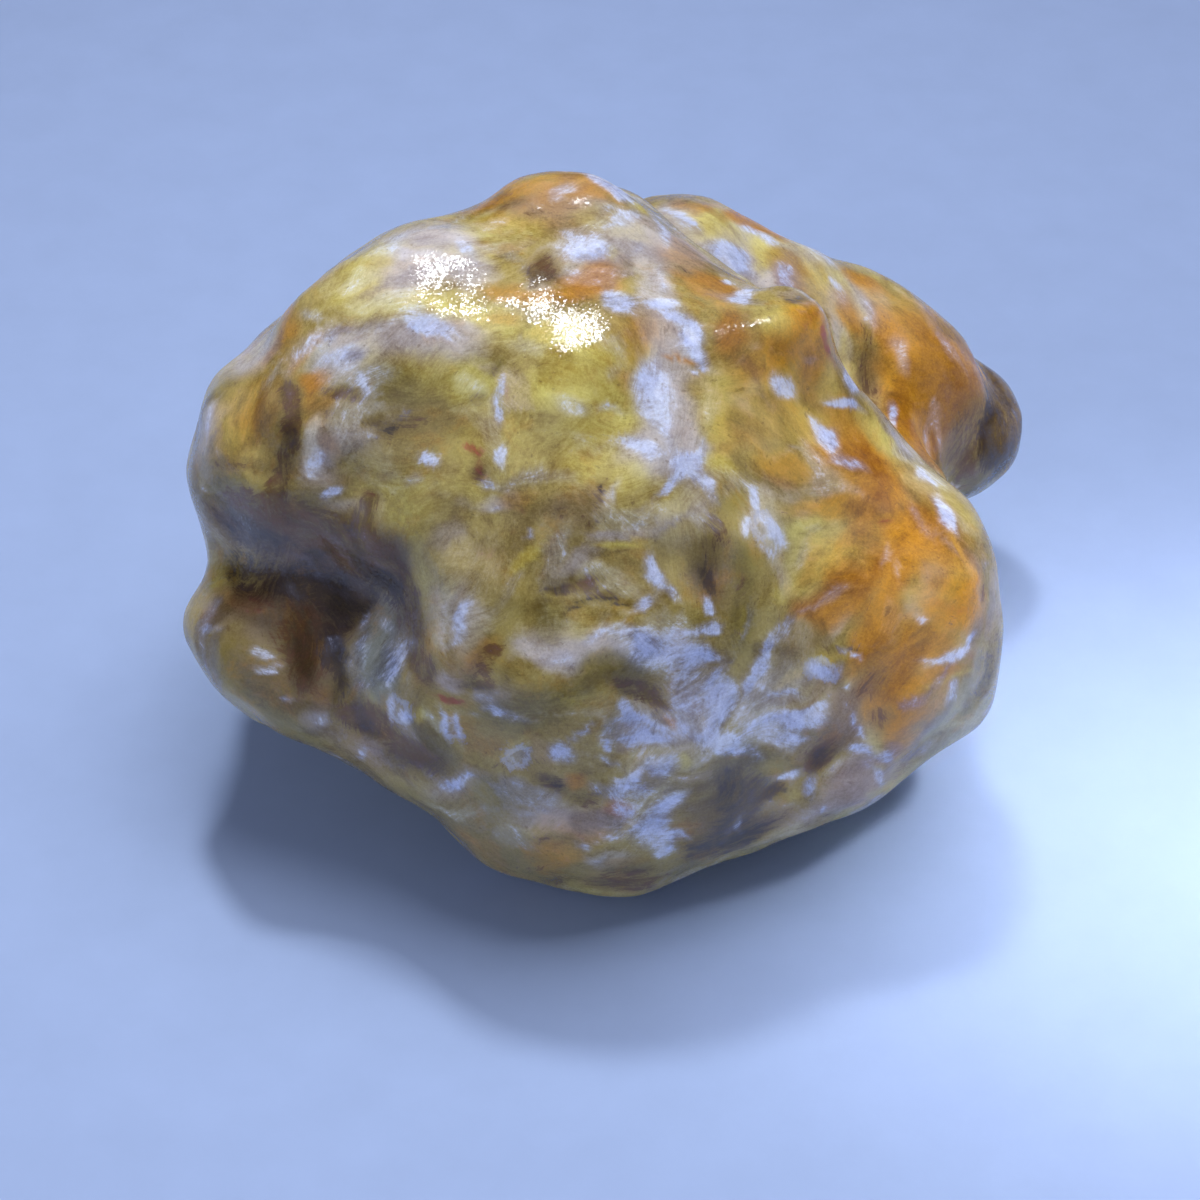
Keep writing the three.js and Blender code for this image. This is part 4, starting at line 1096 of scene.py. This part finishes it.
class AGATE_OT_stone(bpy.types.Operator):
    """Builds the stone's fine skin with its relief and minerals"""

    bl_idname = "agate.stone"
    bl_label = "Agate stone"

    def execute(self, context):
        look = context.scene.agate_stone
        noise.seed_set(SWAY_SEED)
        mesh = fine_skin(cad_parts[STONE_NODE].data)
        mesh.name = "agate_stone"
        skin = Skin(mesh)
        fields = paint_minerals(mesh, skin)
        wear_skin(mesh, skin, fields, look)
        mesh.shade_smooth()
        mesh.materials.append(stone_material(look))
        stone = bpy.data.objects.new("agate_stone", mesh)
        context.scene.collection.objects.link(stone)
        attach(stone, "root")
        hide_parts(STONE_NODE)
        return {"FINISHED"}


def place_object(name, data, place, aim):
    """Adds a light or a camera at a place, turned to its aim, both in mm."""
    holder = bpy.data.objects.new(name, data)
    holder.location = place * MM
    holder.rotation_euler = (place - aim).to_track_quat("Z", "Y").to_euler()
    bpy.context.scene.collection.objects.link(holder)
    return holder


def round_light(name, power, width, place, aim, spread, colour, mirrored):
    """A round light of a width in mm, whose light spreads over an angle in degrees."""
    lamp = bpy.data.lights.new(name, "AREA")
    lamp.shape = "DISK"
    lamp.energy = power
    lamp.size = width * MM
    lamp.color = colour
    lamp.spread = math.radians(spread)
    place_object(name, lamp, place, aim).visible_glossy = mirrored


def soft_light(strength, width):
    """A wide far light that falls alike on everything, and that no gloss mirrors."""
    lamp = bpy.data.lights.new("soft_light", "SUN")
    lamp.energy = strength
    lamp.angle = width
    lamp.color = COOL
    place_object("soft_light", lamp, SOFT_LIGHT_PLACE, AIM).visible_glossy = False


def ambient_light(strength, colour):
    """The even light from all round, which no gloss mirrors."""
    world = bpy.data.worlds.new("room")
    world.use_nodes = True
    background = world.node_tree.nodes["Background"]
    background.inputs["Color"].default_value = (*colour, 1.0)
    background.inputs["Strength"].default_value = strength
    world.cycles_visibility.glossy = False
    bpy.context.scene.world = world


def pale_floor(stage):
    """The wide floor that the stone rests on."""
    reach = stage.floor_width / 2.0
    plane = bpy.data.meshes.new("floor")
    corners = [(-reach, -reach, 0.0), (reach, -reach, 0.0), (reach, reach, 0.0), (-reach, reach, 0.0)]
    plane.from_pydata(corners, [], [(0, 1, 2, 3)])
    plane.materials.append(floor_material(stage))
    floor = bpy.data.objects.new("floor", plane)
    floor.location.z = -FLOOR_GAP * MM
    bpy.context.scene.collection.objects.link(floor)
    return floor


class AGATE_OT_stage(bpy.types.Operator):
    """Builds the floor, the lights and the camera"""

    bl_idname = "agate.stage"
    bl_label = "Stage"

    def execute(self, context):
        scene = context.scene
        stage = scene.agate_stage
        floor = pale_floor(stage)
        round_light("key_light", stage.key_power, *KEY_LIGHT)
        soft_light(stage.soft_strength, stage.soft_width)
        round_light("pool_light", stage.pool_power, *POOL_LIGHT)
        round_light("fill_light", stage.fill_power, *FILL_LIGHT)
        ambient_light(stage.ambient, stage.ambient_colour)

        lens = bpy.data.cameras.new("camera")
        lens.lens = LENS
        lens.sensor_width = FILM_WIDTH
        lens.clip_start = NEAREST_SEEN
        lens.clip_end = FARTHEST_SEEN
        scene.camera = place_object("camera", lens, EYE, AIM)
        scene.view_settings.view_transform = "Standard"
        return {"FINISHED"}


class AGATE_PT_panel(bpy.types.Panel):
    """The settings and steps, in the 3D view's sidebar"""

    bl_label = "Agate nodule"
    bl_idname = "AGATE_PT_panel"
    bl_space_type = "VIEW_3D"
    bl_region_type = "UI"
    bl_category = "Agate"

    def draw(self, context):
        scene = context.scene
        for group, operator in ((scene.agate_stone, "agate.stone"), (scene.agate_stage, "agate.stage")):
            box = self.layout.box()
            for name in group.__annotations__:
                box.prop(group, name)
            box.operator(operator)


CLASSES = (AgateStone, AgateStage, AGATE_OT_stone, AGATE_OT_stage, AGATE_PT_panel)


def register():
    for entry in CLASSES:
        bpy.utils.register_class(entry)
    bpy.types.Scene.agate_stone = bpy.props.PointerProperty(type=AgateStone)
    bpy.types.Scene.agate_stage = bpy.props.PointerProperty(type=AgateStage)


def unregister():
    del bpy.types.Scene.agate_stage
    del bpy.types.Scene.agate_stone
    for entry in reversed(CLASSES):
        bpy.utils.unregister_class(entry)


def main():
    register()
    bpy.ops.agate.stone()
    bpy.ops.agate.stage()


if __name__ == "__main__":
    main()
